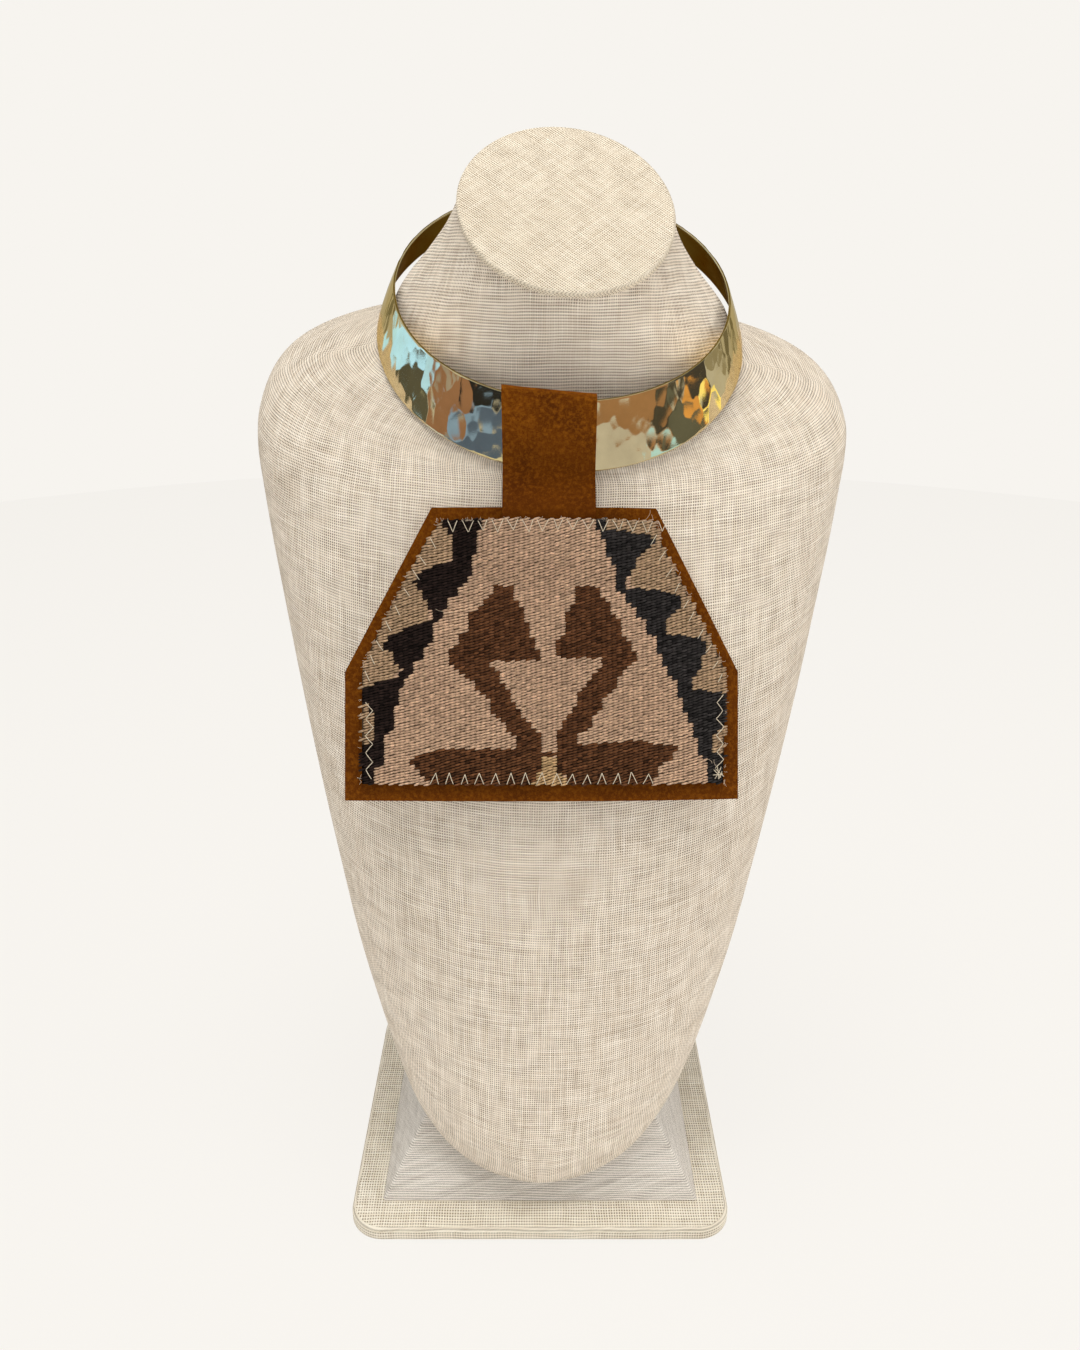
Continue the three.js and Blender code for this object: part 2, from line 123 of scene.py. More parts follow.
def linen(name, across, along, light, dark, gap, turn=0.0):
    """Open plain weave on a UV map in millimetres: threads of uneven width that pass over and under.
    across and along are the pitches of its two sets of threads, gap is the colour seen between them."""
    material, tree, shader = new_material(name)
    cloth = add(tree, "ShaderNodeUVMap", uv_map="cloth").outputs[0]
    turned = add(tree, "ShaderNodeMapping", {"Vector": cloth, "Rotation": (0, 0, turn)}).outputs[0]
    wave = add(tree, "ShaderNodeTexNoise", {"Vector": turned, "Scale": 0.05, "Detail": 1.0}).outputs["Color"]
    wave = add(tree, "ShaderNodeVectorMath", {0: wave, 1: (0.5, 0.5, 0.5)}, operation="SUBTRACT").outputs[0]
    wave = add(tree, "ShaderNodeVectorMath", {0: wave, "Scale": LINEN_WANDER}, operation="SCALE").outputs[0]
    lain = add(tree, "ShaderNodeVectorMath", {0: turned, 1: wave}, operation="ADD").outputs[0]
    split = add(tree, "ShaderNodeSeparateXYZ", {"Vector": lain})
    warp_place = reckon(tree, "DIVIDE", split.outputs["X"], across)
    weft_place = reckon(tree, "DIVIDE", split.outputs["Y"], along)
    looser = spread(tree, speckle(tree, turned, scale=0.13), 0.35, 0.65, to_low=0.06, to_high=-0.10)

    def thread(place, other):
        """One set of threads as (height over a thread's width, its rise over the other set, its tone)."""
        number = reckon(tree, "FLOOR", place)
        step = reckon(tree, "MULTIPLY", other, LINEN_SLUB_STEP)
        along_thread = add(tree, "ShaderNodeCombineXYZ", {"X": number, "Y": step}).outputs[0]
        slub = speckle(tree, along_thread, scale=0.83)
        width = spread(tree, slub, 0.25, 0.75, to_low=LINEN_WIDTH - LINEN_THICK_AND_THIN / 2,
                       to_high=LINEN_WIDTH + LINEN_THICK_AND_THIN / 2)
        width = reckon(tree, "ADD", width, looser)
        off = reckon(tree, "ABSOLUTE", reckon(tree, "SUBTRACT", reckon(tree, "FRACT", place), 0.5))
        share = reckon(tree, "DIVIDE", reckon(tree, "MULTIPLY", off, 2.0), width)
        body = reckon(tree, "SUBTRACT", 1.0, reckon(tree, "MULTIPLY", share, share))
        phase = reckon(tree, "SUBTRACT", reckon(tree, "ADD", number, other), 0.5)
        rise = reckon(tree, "COSINE", reckon(tree, "MULTIPLY", phase, math.pi))
        return body, reckon(tree, "MULTIPLY", rise, LINEN_RISE), reckon(tree, "MULTIPLY", slub, 0.5)

    warp_body, warp_rise, warp_tone = thread(warp_place, weft_place)
    weft_body, weft_rise, weft_tone = thread(weft_place, warp_place)
    warp = reckon(tree, "ADD", warp_body, warp_rise)
    weft = reckon(tree, "SUBTRACT", weft_body, weft_rise)
    height = reckon(tree, "MAXIMUM", warp, weft)
    covered = spread(tree, reckon(tree, "MAXIMUM", warp_body, weft_body), 0.0, 0.4)
    tone = spread(tree, reckon(tree, "ADD", warp_tone, weft_tone), 0.34, 0.66)
    soiled = spread(tree, speckle(tree, turned, scale=0.02, detail=3), 0.3, 0.7, to_high=0.22)
    # Painted shade: the colour is darker where the weave is low, in the hollows between the threads.
    shade = spread(tree, height, 0.0, 1.1, to_low=0.66)
    colour = blend_colours(tree, tone, dark, light)
    colour = blend_colours(tree, soiled, colour, dark)
    colour = blend_colours(tree, 1.0, colour, shade, "MULTIPLY")
    give(tree, shader, {
        "Base Color": blend_colours(tree, covered, gap, colour),
        "Normal": bumps(tree, height, 0.55, LINEN_BUMP),
        "Roughness": 0.92,
        "Specular IOR Level": 0.18,
    })
    return material


def skin(name, rings, across, along, cap_map=None):
    """A closed smooth body over equal rings of points in millimetres. across gives each ring's places on the
    cloth, one more than its points, along those of each span's lower and upper ring, and cap_map those in a
    flat end."""
    count, sides = rings.shape[:2]
    faces = []
    places = []
    for ring in range(count - 1):
        for side in range(sides):
            after = (side + 1) % sides
            low = ring * sides
            high = low + sides
            faces.append((low + side, low + after, high + after, high + side))
            for upper, place in ((0, side), (0, side + 1), (1, side + 1), (1, side)):
                places.append((across[ring + upper, place], along[ring, upper, place]))
    points = rings.reshape(-1, 3)
    down = range(sides - 1, -1, -1)
    for ring, level, order in ((0, along[0, 0], down), (count - 1, along[-1, 1], range(sides))):
        faces.append(tuple(ring * sides + side for side in order))
        for side in order:
            place = cap_map(points[ring * sides + side]) if cap_map else (across[ring, side], level[side])
            places.append(place)
    return mesh_piece(name, points, faces, places)


def mesh_piece(name, points, faces, places):
    """An object from points in millimetres and each face corner's place on the cloth."""
    mesh = bpy.data.meshes.new(name)
    mesh.from_pydata((np.asarray(points) * MM).tolist(), [], faces)
    cloth = mesh.uv_layers.new(name="cloth")
    cloth.data.foreach_set("uv", np.asarray(places, dtype=float).ravel())
    body = bmesh.new()
    body.from_mesh(mesh)
    bmesh.ops.recalc_face_normals(body, faces=body.faces)
    body.to_mesh(mesh)
    body.free()
    mesh.shade_smooth()
    mesh.set_sharp_from_angle(angle=SHARP_EDGE)
    return linked(name, mesh)


def linked(name, data):
    """A new object in the scene."""
    thing = bpy.data.objects.new(name, data)
    bpy.context.collection.objects.link(thing)
    return thing


def lengths(points):
    """How far along a row of points each one is."""
    steps = np.linalg.norm(np.diff(points, axis=0), axis=-1)
    return np.concatenate([np.zeros_like(steps[:1]), np.cumsum(steps, axis=0)])


def cover(name, rings, middle=0, start=0, level_from=None, cap_map=None):
    """A skin whose cloth is laid out by length: round each ring from its point number middle, and up from the
    ring number start. From the ring level_from on, the cloth's rows lie level."""
    closed = np.concatenate([rings, rings[:, :1]], axis=1)
    across = lengths(closed.transpose(1, 0, 2)).T
    across = across - across[:, middle:middle + 1]
    along = lengths(closed)
    along = along - along[start:start + 1]
    spans = np.stack([along[:-1], along[1:]], axis=1)
    if level_from is not None:
        height = closed[..., 2] - closed[level_from, middle, 2] + along[level_from, middle]
        spans[level_from:] = np.stack([height[:-1], height[1:]], axis=1)[level_from:]
    return skin(name, rings, across, spans, cap_map)


def hand_over(piece, slot, *nodes):
    """The piece rides on the one body and stands for CAD nodes, which it hides; slot is not used."""
    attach(piece, "root")
    if nodes:
        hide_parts(*nodes)


def rounded_plan(half_width, front, back, corner, inset):
    """The outline of a plan with round corners, pulled in by inset, as rows of x and y."""
    outline = []
    radius = corner - inset
    corners = ((half_width, back), (-half_width, back), (-half_width, front), (half_width, front))
    for quarter, (x, y) in enumerate(corners):
        centre_x = x - math.copysign(corner, x)
        centre_y = y - math.copysign(corner, y)
        for angle in np.linspace(quarter, quarter + 1, CORNER_STEPS) * math.pi / 2:
            outline.append((centre_x + radius * math.cos(angle), centre_y + radius * math.sin(angle)))
    return np.array(outline)


def from_above(point):
    """A point's place on cloth that lies flat."""
    return point[0], point[1]


def plan_body(name, levels, plan):
    """A covered body over a stack of levels, each a height and an inset, at which plan gives the outline."""
    rings = np.array([[(x, y, height) for x, y in plan(height, inset)] for height, inset in levels])
    return cover(name, rings, cap_map=from_above)


def edge_levels(bottom, top, top_edge, foot_edge):
    """Levels of a body whose top and foot edges are rounded, as heights and insets."""
    angles = np.linspace(0, math.pi / 2, EDGE_STEPS)
    foot = [(bottom + foot_edge * (1 - math.sin(a)), foot_edge * (1 - math.cos(a))) for a in reversed(angles)]
    return foot + [(top - top_edge * (1 - math.sin(a)), top_edge * (1 - math.cos(a))) for a in angles]


def plate_plan(height, inset):
    """The plate's outline, the same at every height but for its rounded edges."""
    return rounded_plan(PLATE_WIDTH / 2, -PLATE_DEPTH / 2, PLATE_DEPTH / 2, PLATE_CORNER, inset)


base_linen = linen("coarse_linen", across=1.15, along=1.5, light=(0.98, 0.92, 0.79), dark=(0.82, 0.73, 0.58),
                   gap=(0.24, 0.17, 0.10))
plate = plan_body(
    "base_plate_linen",
    edge_levels(0, PLATE_THICKNESS, PLATE_TOP_EDGE, PLATE_FOOT_EDGE),
    plate_plan,
)
plate.data.materials.append(base_linen)
hand_over(plate, "base_linen", "base_plate")


# Plinth block: a solid foam block with four sloping faces, covered in linen folded at its upright edges. It
# stands glued on the plate, and the bust is cut to sit on its top.
BLOCK_WIDTH = 142.7
BLOCK_FRONT = -59.2
BLOCK_BACK = 52
BLOCK_HEIGHT = 90
BLOCK_SLOPE = 0.58
BLOCK_CORNER = 1.4
BLOCK_TOP_EDGE = 1.2
BLOCK_FOOT_EDGE = 0.3
GAP = 0.3

block_foot = PLATE_THICKNESS + GAP


def block_plan(height, inset, grow=0.0):
    """The block's outline at a height, pulled in by its slope and larger by grow on every side."""
    pulled = BLOCK_SLOPE * (height - block_foot) - grow
    half_width = BLOCK_WIDTH / 2 - pulled
    return rounded_plan(half_width, BLOCK_FRONT + pulled, BLOCK_BACK - pulled, BLOCK_CORNER, inset)


block_linen = linen("block_linen", across=0.95, along=1.12, light=(0.97, 0.92, 0.85), dark=(0.80, 0.74, 0.66),
                    gap=(0.13, 0.092, 0.062))
block = plan_body(
    "plinth_block_linen",
    edge_levels(block_foot, block_foot + BLOCK_HEIGHT, BLOCK_TOP_EDGE, BLOCK_FOOT_EDGE),
    block_plan,
)
block.data.materials.append(block_linen)
hand_over(block, "base_linen", "plinth_block")


# Bust: a moulded hollow form of chest, shoulders and neck in one, covered in one piece of open linen that is
# stretched over it and joined down the middle of the back.
SHOULDER_WIDTH = 240
SHOULDER_HEIGHT = 340
CHEST_REACH = 66
BACK_REACH = 76
NECK_DRIFT = 9.4
NECK_ROLL = math.radians(4.5)
BUST_SIDES = 192
BUST_STEPS = 6
# The cloth is laid out from one section, and its rows lie level from another one up.
CLOTH_SECTION = 14
NECK_SECTION = 21
# Heights are shares of the shoulder height, front and back reaches of their own reach, widths of the shoulder
# width. Widest is the share of the way back where a section is widest, the next two say how full it is.
BUST_COLUMNS = ("front_up", "front", "back_up", "back", "width", "widest", "round", "square", "drift", "roll")
BUST_SECTIONS = (
    (0.0603, 0.945, 0.0603, -0.74, 0.06, 0.5, 2.1, 2.2, 0.05, 0),
    (0.0647, 0.965, 0.0647, -0.67, 0.142, 0.5, 2.1, 2.3, 0.05, 0),
    (0.0765, 0.98, 0.0765, -0.6, 0.238, 0.5, 2.1, 2.4, 0.05, 0),
    (0.0971, 0.988, 0.0971, -0.51, 0.33, 0.5, 2.1, 2.5, 0.06, 0),
    (0.1265, 0.994, 0.1265, -0.42, 0.405, 0.5, 2.1, 2.6, 0.08, 0),
    (0.1706, 1, 0.1706, -0.31, 0.48, 0.5, 2.1, 2.7, 0.12, 0),
    (0.2324, 1, 0.2324, -0.17, 0.55, 0.5, 2.1, 2.8, 0.2, 0),
    (0.3059, 1, 0.3059, -0.02, 0.615, 0.5, 2.1, 2.9, 0.24, 0),
    (0.3941, 1, 0.3971, 0.11, 0.68, 0.5, 2.1, 3, 0.28, 0),
    (0.5, 0.993, 0.5088, 0.265, 0.742, 0.5, 2.1, 3, 0.33, 0),
    (0.6029, 0.955, 0.6235, 0.41, 0.802, 0.5, 2.1, 3, 0.38, 0),
    (0.6941, 0.865, 0.7353, 0.55, 0.858, 0.5, 2.1, 3, 0.43, 0),
    (0.7706, 0.742, 0.8382, 0.69, 0.908, 0.5, 2.1, 3, 0.46, 0),
    (0.8353, 0.606, 0.9294, 0.81, 0.953, 0.5, 2.1, 3, 0.49, 0),
    (0.8824, 0.485, 1.0029, 0.9, 0.985, 0.5, 2.1, 2.9, 0.5, 0.1),
    (0.9147, 0.394, 1.0588, 0.96, 1.005, 0.5, 2.1, 2.8, 0.52, 0.2),
    (0.9382, 0.326, 1.1, 0.993, 1.003, 0.52, 2.1, 2.7, 0.58, 0.3),
    (0.9559, 0.273, 1.13, 1, 0.95, 0.55, 2, 2.6, 0.58, 0.38),
    (0.9662, 0.25, 1.143, 0.98, 0.838, 0.58, 1.9, 2.5, 0.5, 0.42),
    (0.972, 0.24, 1.145, 0.94, 0.715, 0.61, 1.8, 2.4, 0.5, 0.46),
    (0.9775, 0.225, 1.146, 0.895, 0.642, 0.63, 1.75, 2.3, 0.62, 0.5),
    (0.986, 0.199, 1.151, 0.855, 0.607, 0.64, 1.75, 2.2, 0.76, 0.6),
    (1.005, 0.166, 1.17, 0.825, 0.59, 0.63, 1.8, 2.1, 0.88, 0.68),
    (1.038, 0.152, 1.2, 0.795, 0.56, 0.6, 1.9, 2, 0.95, 0.7),
    (1.0573, 0.155, 1.219, 0.778, 0.524, 0.58, 1.95, 2, 0.94, 0.75),
    (1.0765, 0.16, 1.238, 0.76, 0.479, 0.56, 2, 2, 0.95, 0.8),
    (1.1147, 0.193, 1.2794, 0.715, 0.398, 0.52, 2, 2, 1, 0.9),
    (1.1565, 0.239, 1.325, 0.664, 0.337, 0.5, 2, 2, 1.04, 1),
)


def eased(rows, steps):
    """Rows with smooth rows put in between, steps to a span."""
    rows = np.asarray(rows, dtype=float)
    wide = np.concatenate([2 * rows[:1] - rows[1:2], rows, 2 * rows[-1:] - rows[-2:-1]])
    smooth = []
    for span in range(len(rows) - 1):
        a, b, c, d = wide[span:span + 4]
        for t in np.arange(steps) / steps:
            bend = (2 * a - 5 * b + 4 * c - d) * t ** 2 + (-a + 3 * b - 3 * c + d) * t ** 3
            smooth.append(0.5 * (2 * b + (c - a) * t + bend))
    smooth.append(rows[-1])
    return np.array(smooth)


def bust_section(row):
    """A section's centre, its directions across and to the back, its three half sizes and two fullnesses."""
    part = dict(zip(BUST_COLUMNS, row))
    front = np.array((0, -part["front"] * CHEST_REACH, part["front_up"] * SHOULDER_HEIGHT))
    back = np.array((0, part["back"] * BACK_REACH, part["back_up"] * SHOULDER_HEIGHT))
    roll = part["roll"] * NECK_ROLL
    along = back - front
    length = np.linalg.norm(along)
    centre = front + along * part["widest"]
    centre[0] = part["drift"] * NECK_DRIFT
    across = np.array((math.cos(roll), 0, -math.sin(roll)))
    half = part["width"] * SHOULDER_WIDTH / 2
    reaches = (length * part["widest"], length * (1 - part["widest"]))
    return centre, across, along / length, half, reaches, (part["round"], part["square"])


def section_ring(section, grow=0.0):
    """The points of a section, starting at its back."""
    centre, across, along, half, reaches, fullness = section
    angles = (np.arange(BUST_SIDES) / BUST_SIDES + 0.25) * 2 * math.pi
    sine = np.sin(angles)
    cosine = np.cos(angles)
    full = np.where(sine < 0, *fullness)
    reach = np.where(sine < 0, reaches[0] + grow, reaches[1] + grow)
    x = (half + grow) * np.sign(cosine) * np.abs(cosine) ** (2 / full)
    y = reach * np.sign(sine) * np.abs(sine) ** (2 / full)
    return centre + x[:, None] * across + y[:, None] * along


def made_plain(piece):
    """The piece with what its modifiers give as its own plain mesh."""
    seen = bpy.context.evaluated_depsgraph_get()
    mesh = bpy.data.meshes.new_from_object(piece.evaluated_get(seen))
    piece.modifiers.clear()
    piece.data = mesh


bust_rings = eased([section_ring(bust_section(row)) for row in BUST_SECTIONS], BUST_STEPS)
bust = cover("bust_linen_cover", bust_rings, middle=BUST_SIDES // 2, start=CLOTH_SECTION * BUST_STEPS,
             level_from=NECK_SECTION * BUST_STEPS, cap_map=from_above)
cutter = plan_body(
    "block_cutter",
    [(block_foot - GAP, 0), (block_foot + BLOCK_HEIGHT + GAP, 0)],
    lambda height, inset: block_plan(height, inset, GAP),
)
cut = bust.modifiers.new("block", "BOOLEAN")
cut.operation = "DIFFERENCE"
cut.solver = "EXACT"
cut.object = cutter
made_plain(bust)
bpy.data.objects.remove(cutter)
bust_linen = linen("bust_linen", across=0.93, along=1.1, light=(0.93, 0.845, 0.725), dark=(0.73, 0.62, 0.49),
                   gap=(0.13, 0.092, 0.062))
bust.data.materials.clear()
bust.data.materials.append(bust_linen)
bust.data.set_sharp_from_angle(angle=SHARP_EDGE)
hand_over(bust, "bust_linen", "bust_form")


# Neck cap: an oval card disc covered in finer linen, laid on the neck's sloping cut with its weave askew.
CAP_THICKNESS = 2.8
CAP_OVERHANG = 1.1
CAP_EDGE = 0.9

neck_section = bust_section(BUST_SECTIONS[-1])
neck_across = neck_section[1]
neck_along = neck_section[2]
neck_out = np.cross(neck_across, neck_along)


def cap_ring(inset, rise):
    """The cap's outline, pulled in by inset, at a rise above the neck's cut."""
    return section_ring(neck_section, CAP_OVERHANG - inset) + neck_out * (GAP + rise)


def on_neck_cut(point):
    """A point's place on cloth that lies on the neck's cut."""
    return point @ neck_across, point @ neck_along


cap_rings = [cap_ring(inset, rise) for rise, inset in edge_levels(0, CAP_THICKNESS, CAP_EDGE, CAP_EDGE)]
cap = cover("neck_cap_linen", np.array(cap_rings), cap_map=on_neck_cut)
cap_linen = linen("fine_linen", across=0.85, along=0.95, turn=math.radians(42), light=(0.88, 0.795, 0.65),
                  dark=(0.76, 0.655, 0.505), gap=(0.27, 0.20, 0.13))
cap.data.materials.append(cap_linen)
hand_over(cap, "bust_linen", "neck_cap")


# Collar: one flared band of brass sheet, open at the back. Its face is slightly crowned, hammered all over
# and polished. Its inside and the outer half of its rounded rim are left with a satin finish, in a much
# darker brass colour that is painted shade.
RIM_RADIUS = 67.4
HEM_RADIUS = 75.6
COLLAR_WALL = 0.9
COLLAR_ROLL = math.radians(2.2)
HEM_TILT = math.radians(37)
RIM_TILT = math.radians(33.231)
HEM_CENTRE = np.array((8.272, 41.3149, 375.9118))
RIM_CENTRE = np.array((8.8881, 33.063, 394.8384))
COLLAR_BACK_GAP = 52
COLLAR_END_ROUND = 9
HAMMER_WIDTH = 2.5
HAMMER_HEIGHT = 4.0
HAMMER_DEPTH = 0.013
HAMMER_TILT = 0.026
# Blows are laid out over a field a little larger than the band. Their scatter and reach are in blows.
HAMMERED_LENGTH = 470
HAMMERED_HEIGHT = 32
HAMMER_SCATTER = 0.36
HAMMER_REACH = 2.6
COLLAR_CROWN = 0.24
COLLAR_STEPS = 640
COLLAR_END_STEPS = 12
COLLAR_END_LEAST = 0.3
FACE_POINTS = 40
RIM_POINTS = 8
INSIDE_POINTS = 12
SATIN_RIM_SPANS = 3

collar_across = np.array((math.cos(COLLAR_ROLL), 0, -math.sin(COLLAR_ROLL)))


def band_at(hem_turn, rim_turn):
    """The band's hem and rim points and the way out of its face, for arrays of turns from its front."""
    hem_turn = np.asarray(hem_turn)[..., None]
    rim_turn = np.asarray(rim_turn)[..., None]
    hem_along = np.array((0, math.cos(HEM_TILT), math.sin(HEM_TILT)))
    rim_along = np.array((0, math.cos(RIM_TILT), math.sin(RIM_TILT)))
    hem = HEM_CENTRE + HEM_RADIUS * (collar_across * np.sin(hem_turn) - hem_along * np.cos(hem_turn))
    rim = RIM_CENTRE + RIM_RADIUS * (collar_across * np.sin(rim_turn) - rim_along * np.cos(rim_turn))
    tangent = collar_across * np.cos(hem_turn) + hem_along * np.sin(hem_turn)
    out = np.cross(tangent, rim - hem)
    return hem, rim, out / np.linalg.norm(out, axis=-1, keepdims=True)


def hammered(place, level, rng):
    """How far each point of the face stands out: every blow leaves a shallow hollow with its own tilt."""
    columns = np.arange(-2, HAMMERED_LENGTH / HAMMER_WIDTH)
    rows = np.arange(-1, HAMMERED_HEIGHT / HAMMER_HEIGHT)
    x, y = np.meshgrid(columns, rows)
    x = (x + 0.5 * (y % 2) + rng.uniform(-HAMMER_SCATTER, HAMMER_SCATTER, x.shape)).ravel() * HAMMER_WIDTH
    y = (y + rng.uniform(-HAMMER_SCATTER, HAMMER_SCATTER, y.shape)).ravel() * HAMMER_HEIGHT
    tilt = rng.normal(0, HAMMER_TILT, (x.size, 2))
    depth = np.full(place.shape, np.inf)
    for blow in range(x.size):
        near = np.abs(place - x[blow]) < HAMMER_REACH * HAMMER_WIDTH
        aside = place[near] - x[blow]
        above = level[near] - y[blow]
        bowl = HAMMER_DEPTH * (aside ** 2 + (above * HAMMER_WIDTH / HAMMER_HEIGHT) ** 2)
        bowl = bowl + tilt[blow, 0] * aside + tilt[blow, 1] * above
        depth[near] = np.minimum(depth[near], bowl)
    return depth - depth.mean()


half_turn = math.pi - COLLAR_BACK_GAP / 2 / RIM_RADIUS
end_turn = COLLAR_END_ROUND / HEM_RADIUS
end_steps = end_turn * np.linspace(0, 1, COLLAR_END_STEPS + 1)[:-1] ** 2
turns = np.concatenate([end_steps, np.linspace(end_turn, 2 * half_turn - end_turn, COLLAR_STEPS),
                        (2 * half_turn - end_steps)[::-1]])
hem_line, rim_line, band_out = band_at(turns - half_turn, turns - half_turn)
near_end = np.minimum(np.minimum(turns, 2 * half_turn - turns), end_turn) / end_turn
end_share = np.maximum(np.sqrt(1 - (1 - near_end) ** 2), COLLAR_END_LEAST)
band_height = np.linalg.norm(rim_line - hem_line, axis=1)
band_up = (rim_line - hem_line) / band_height[:, None]
band_low = band_height * (1 - end_share) / 2
edge_radius = COLLAR_WALL / 2
rim_turns = np.linspace(0, math.pi, RIM_POINTS)[1:-1]
# Points round the wall: the share of its height, a rise past its end and the depth from its face.
profile = [(share, 0.0, 0.0) for share in np.linspace(0, 1, FACE_POINTS)]
profile += [(1.0, edge_radius * math.sin(a), edge_radius * (1 - math.cos(a))) for a in rim_turns]
profile += [(share, 0.0, COLLAR_WALL) for share in np.linspace(1, 0, INSIDE_POINTS)]
profile += [(0.0, -edge_radius * math.sin(a), edge_radius * (1 + math.cos(a))) for a in rim_turns]
wall_share, past_end, wall_depth = np.array(profile).T
band_run = (band_height * end_share - 2 * edge_radius)[:, None]
rise = band_low[:, None] + edge_radius + wall_share * band_run + past_end
collar_place = np.broadcast_to((turns * HEM_RADIUS)[:, None], rise.shape)
stand = hammered(collar_place, rise, np.random.default_rng(11))
stand *= 1 - np.clip(wall_depth / edge_radius, 0, 1)
stand += COLLAR_CROWN * (1 - (2 * wall_share - 1) ** 2) * (wall_depth < edge_radius)
depth = wall_depth - stand
collar_rings = hem_line[:, None] + band_up[:, None] * rise[..., None] - band_out[:, None] * depth[..., None]
collar = cover("hammered_collar", collar_rings)


def brass(name, colour, roughness, grain):
    """Brass with a fine uneven polish."""
    material, tree, shader = new_material(name)
    where = add(tree, "ShaderNodeTexCoord").outputs["Object"]
    cloudy = speckle(tree, where, scale=90, detail=4)
    darker = tuple(0.82 * part for part in colour)
    give(tree, shader, {
        "Base Color": blend_colours(tree, spread(tree, cloudy, 0.35, 0.75), colour, darker),
        "Roughness": spread(tree, cloudy, 0.3, 0.7, to_low=roughness * 0.75, to_high=roughness * 1.35),
        "Normal": bumps(tree, speckle(tree, where, scale=2600), grain, 0.02),
        "Metallic": 1.0,
        "Specular Tint": (*colour, 1),
    })
    return material


collar.data.materials.append(brass("polished_brass", (0.80, 0.68, 0.44), roughness=0.06, grain=0.25))
# The satin brass is much darker than the polished brass: its colour is painted shade for the inside of the
# band and its rim.
collar.data.materials.append(brass("satin_brass_painted_shade", (0.27, 0.185, 0.05), roughness=0.36, grain=0.6))
span = np.tile(np.arange(len(profile)), len(turns) - 1)
inside_from = FACE_POINTS + len(rim_turns)
satin = (span >= inside_from) & (span < inside_from + INSIDE_POINTS - 1)
satin |= (span >= FACE_POINTS) & (span < FACE_POINTS + SATIN_RIM_SPANS)
collar.data.polygons.foreach_set("material_index", np.concatenate([satin.astype(int), [0, 0]]))
collar.data.set_sharp_from_angle(angle=math.radians(60))
hand_over(collar, "collar_brass", "collar")


# Panel backing: one piece of rust brown suede with sloping upper corners, cut with a knife so that its edges
# show the paler inside of the hide. The kilim is sewn on its front.
BACKING_WIDTH = 149.5
BACKING_HEIGHT = 110.4
BACKING_THICKNESS = 1.6
PANEL_LEAN = math.radians(22)
PANEL_TOP = np.array((1.072, -27.1254, 318.8146))
PANEL_BEND_LEFT = 3
PANEL_BEND_RIGHT = 9
# The upper corners are cut off from this share of the height up, to these shares of the half width.
BACKING_SLOPE_FROM = 0.44
BACKING_TOP_LEFT = 0.56
BACKING_TOP_RIGHT = 0.572
BACKING_LOWER_ROWS = 30
BACKING_UPPER_ROWS = 38
BACKING_COLUMNS = 73

panel_up = np.array((0, math.sin(PANEL_LEAN), math.cos(PANEL_LEAN)))
panel_out = np.array((0, -math.cos(PANEL_LEAN), math.sin(PANEL_LEAN)))


def panel_point(x, up, lift):
    """Points on the panel, from arrays of places across, up from its foot and out from its back."""
    x, up, lift = np.broadcast_arrays(x, up, lift)
    bend = np.where(x < 0, PANEL_BEND_LEFT, PANEL_BEND_RIGHT) * (2 * x / BACKING_WIDTH) ** 2
    flat = PANEL_TOP + x[..., None] * np.array((1, 0, 0)) + (up - BACKING_HEIGHT)[..., None] * panel_up
    return flat + (lift - bend)[..., None] * panel_out


def two_faced(name, front, back, places):
    """A sheet from two equal grids of points, its rim in the second material."""
    rows, columns = front.shape[:2]
    points = np.concatenate([front.reshape(-1, 3), back.reshape(-1, 3)])
    flat_places = places.reshape(-1, 2)
    grid = np.arange(rows * columns).reshape(rows, columns)
    second = rows * columns
    faces = []
    marks = []
    for r in range(rows - 1):
        for c in range(columns - 1):
            quad = grid[[r, r, r + 1, r + 1], [c, c + 1, c + 1, c]]
            faces.append(tuple(quad.tolist()))
            faces.append(tuple((quad[::-1] + second).tolist()))
            marks += [0, 0]
    rim = np.concatenate([grid[0, :-1], grid[:-1, -1], grid[-1, :0:-1], grid[:0:-1, 0]])
    for here, after in zip(rim.tolist(), np.roll(rim, -1).tolist()):
        faces.append((after, here, here + second, after + second))
        marks.append(1)
    corner_places = [flat_places[i % second] for face in faces for i in face]
    piece = mesh_piece(name, points, faces, corner_places)
    piece.data.polygons.foreach_set("material_index", marks)
    return piece


def backing_sides(up):
    """Where the backing's left and right edges are at a height."""
    share = up / BACKING_HEIGHT
    slope = (0, BACKING_SLOPE_FROM, 1)
    left = -BACKING_WIDTH / 2 * np.interp(share, slope, (1, 1, BACKING_TOP_LEFT))
    right = BACKING_WIDTH / 2 * np.interp(share, slope, (1, 1, BACKING_TOP_RIGHT))
    return left, right


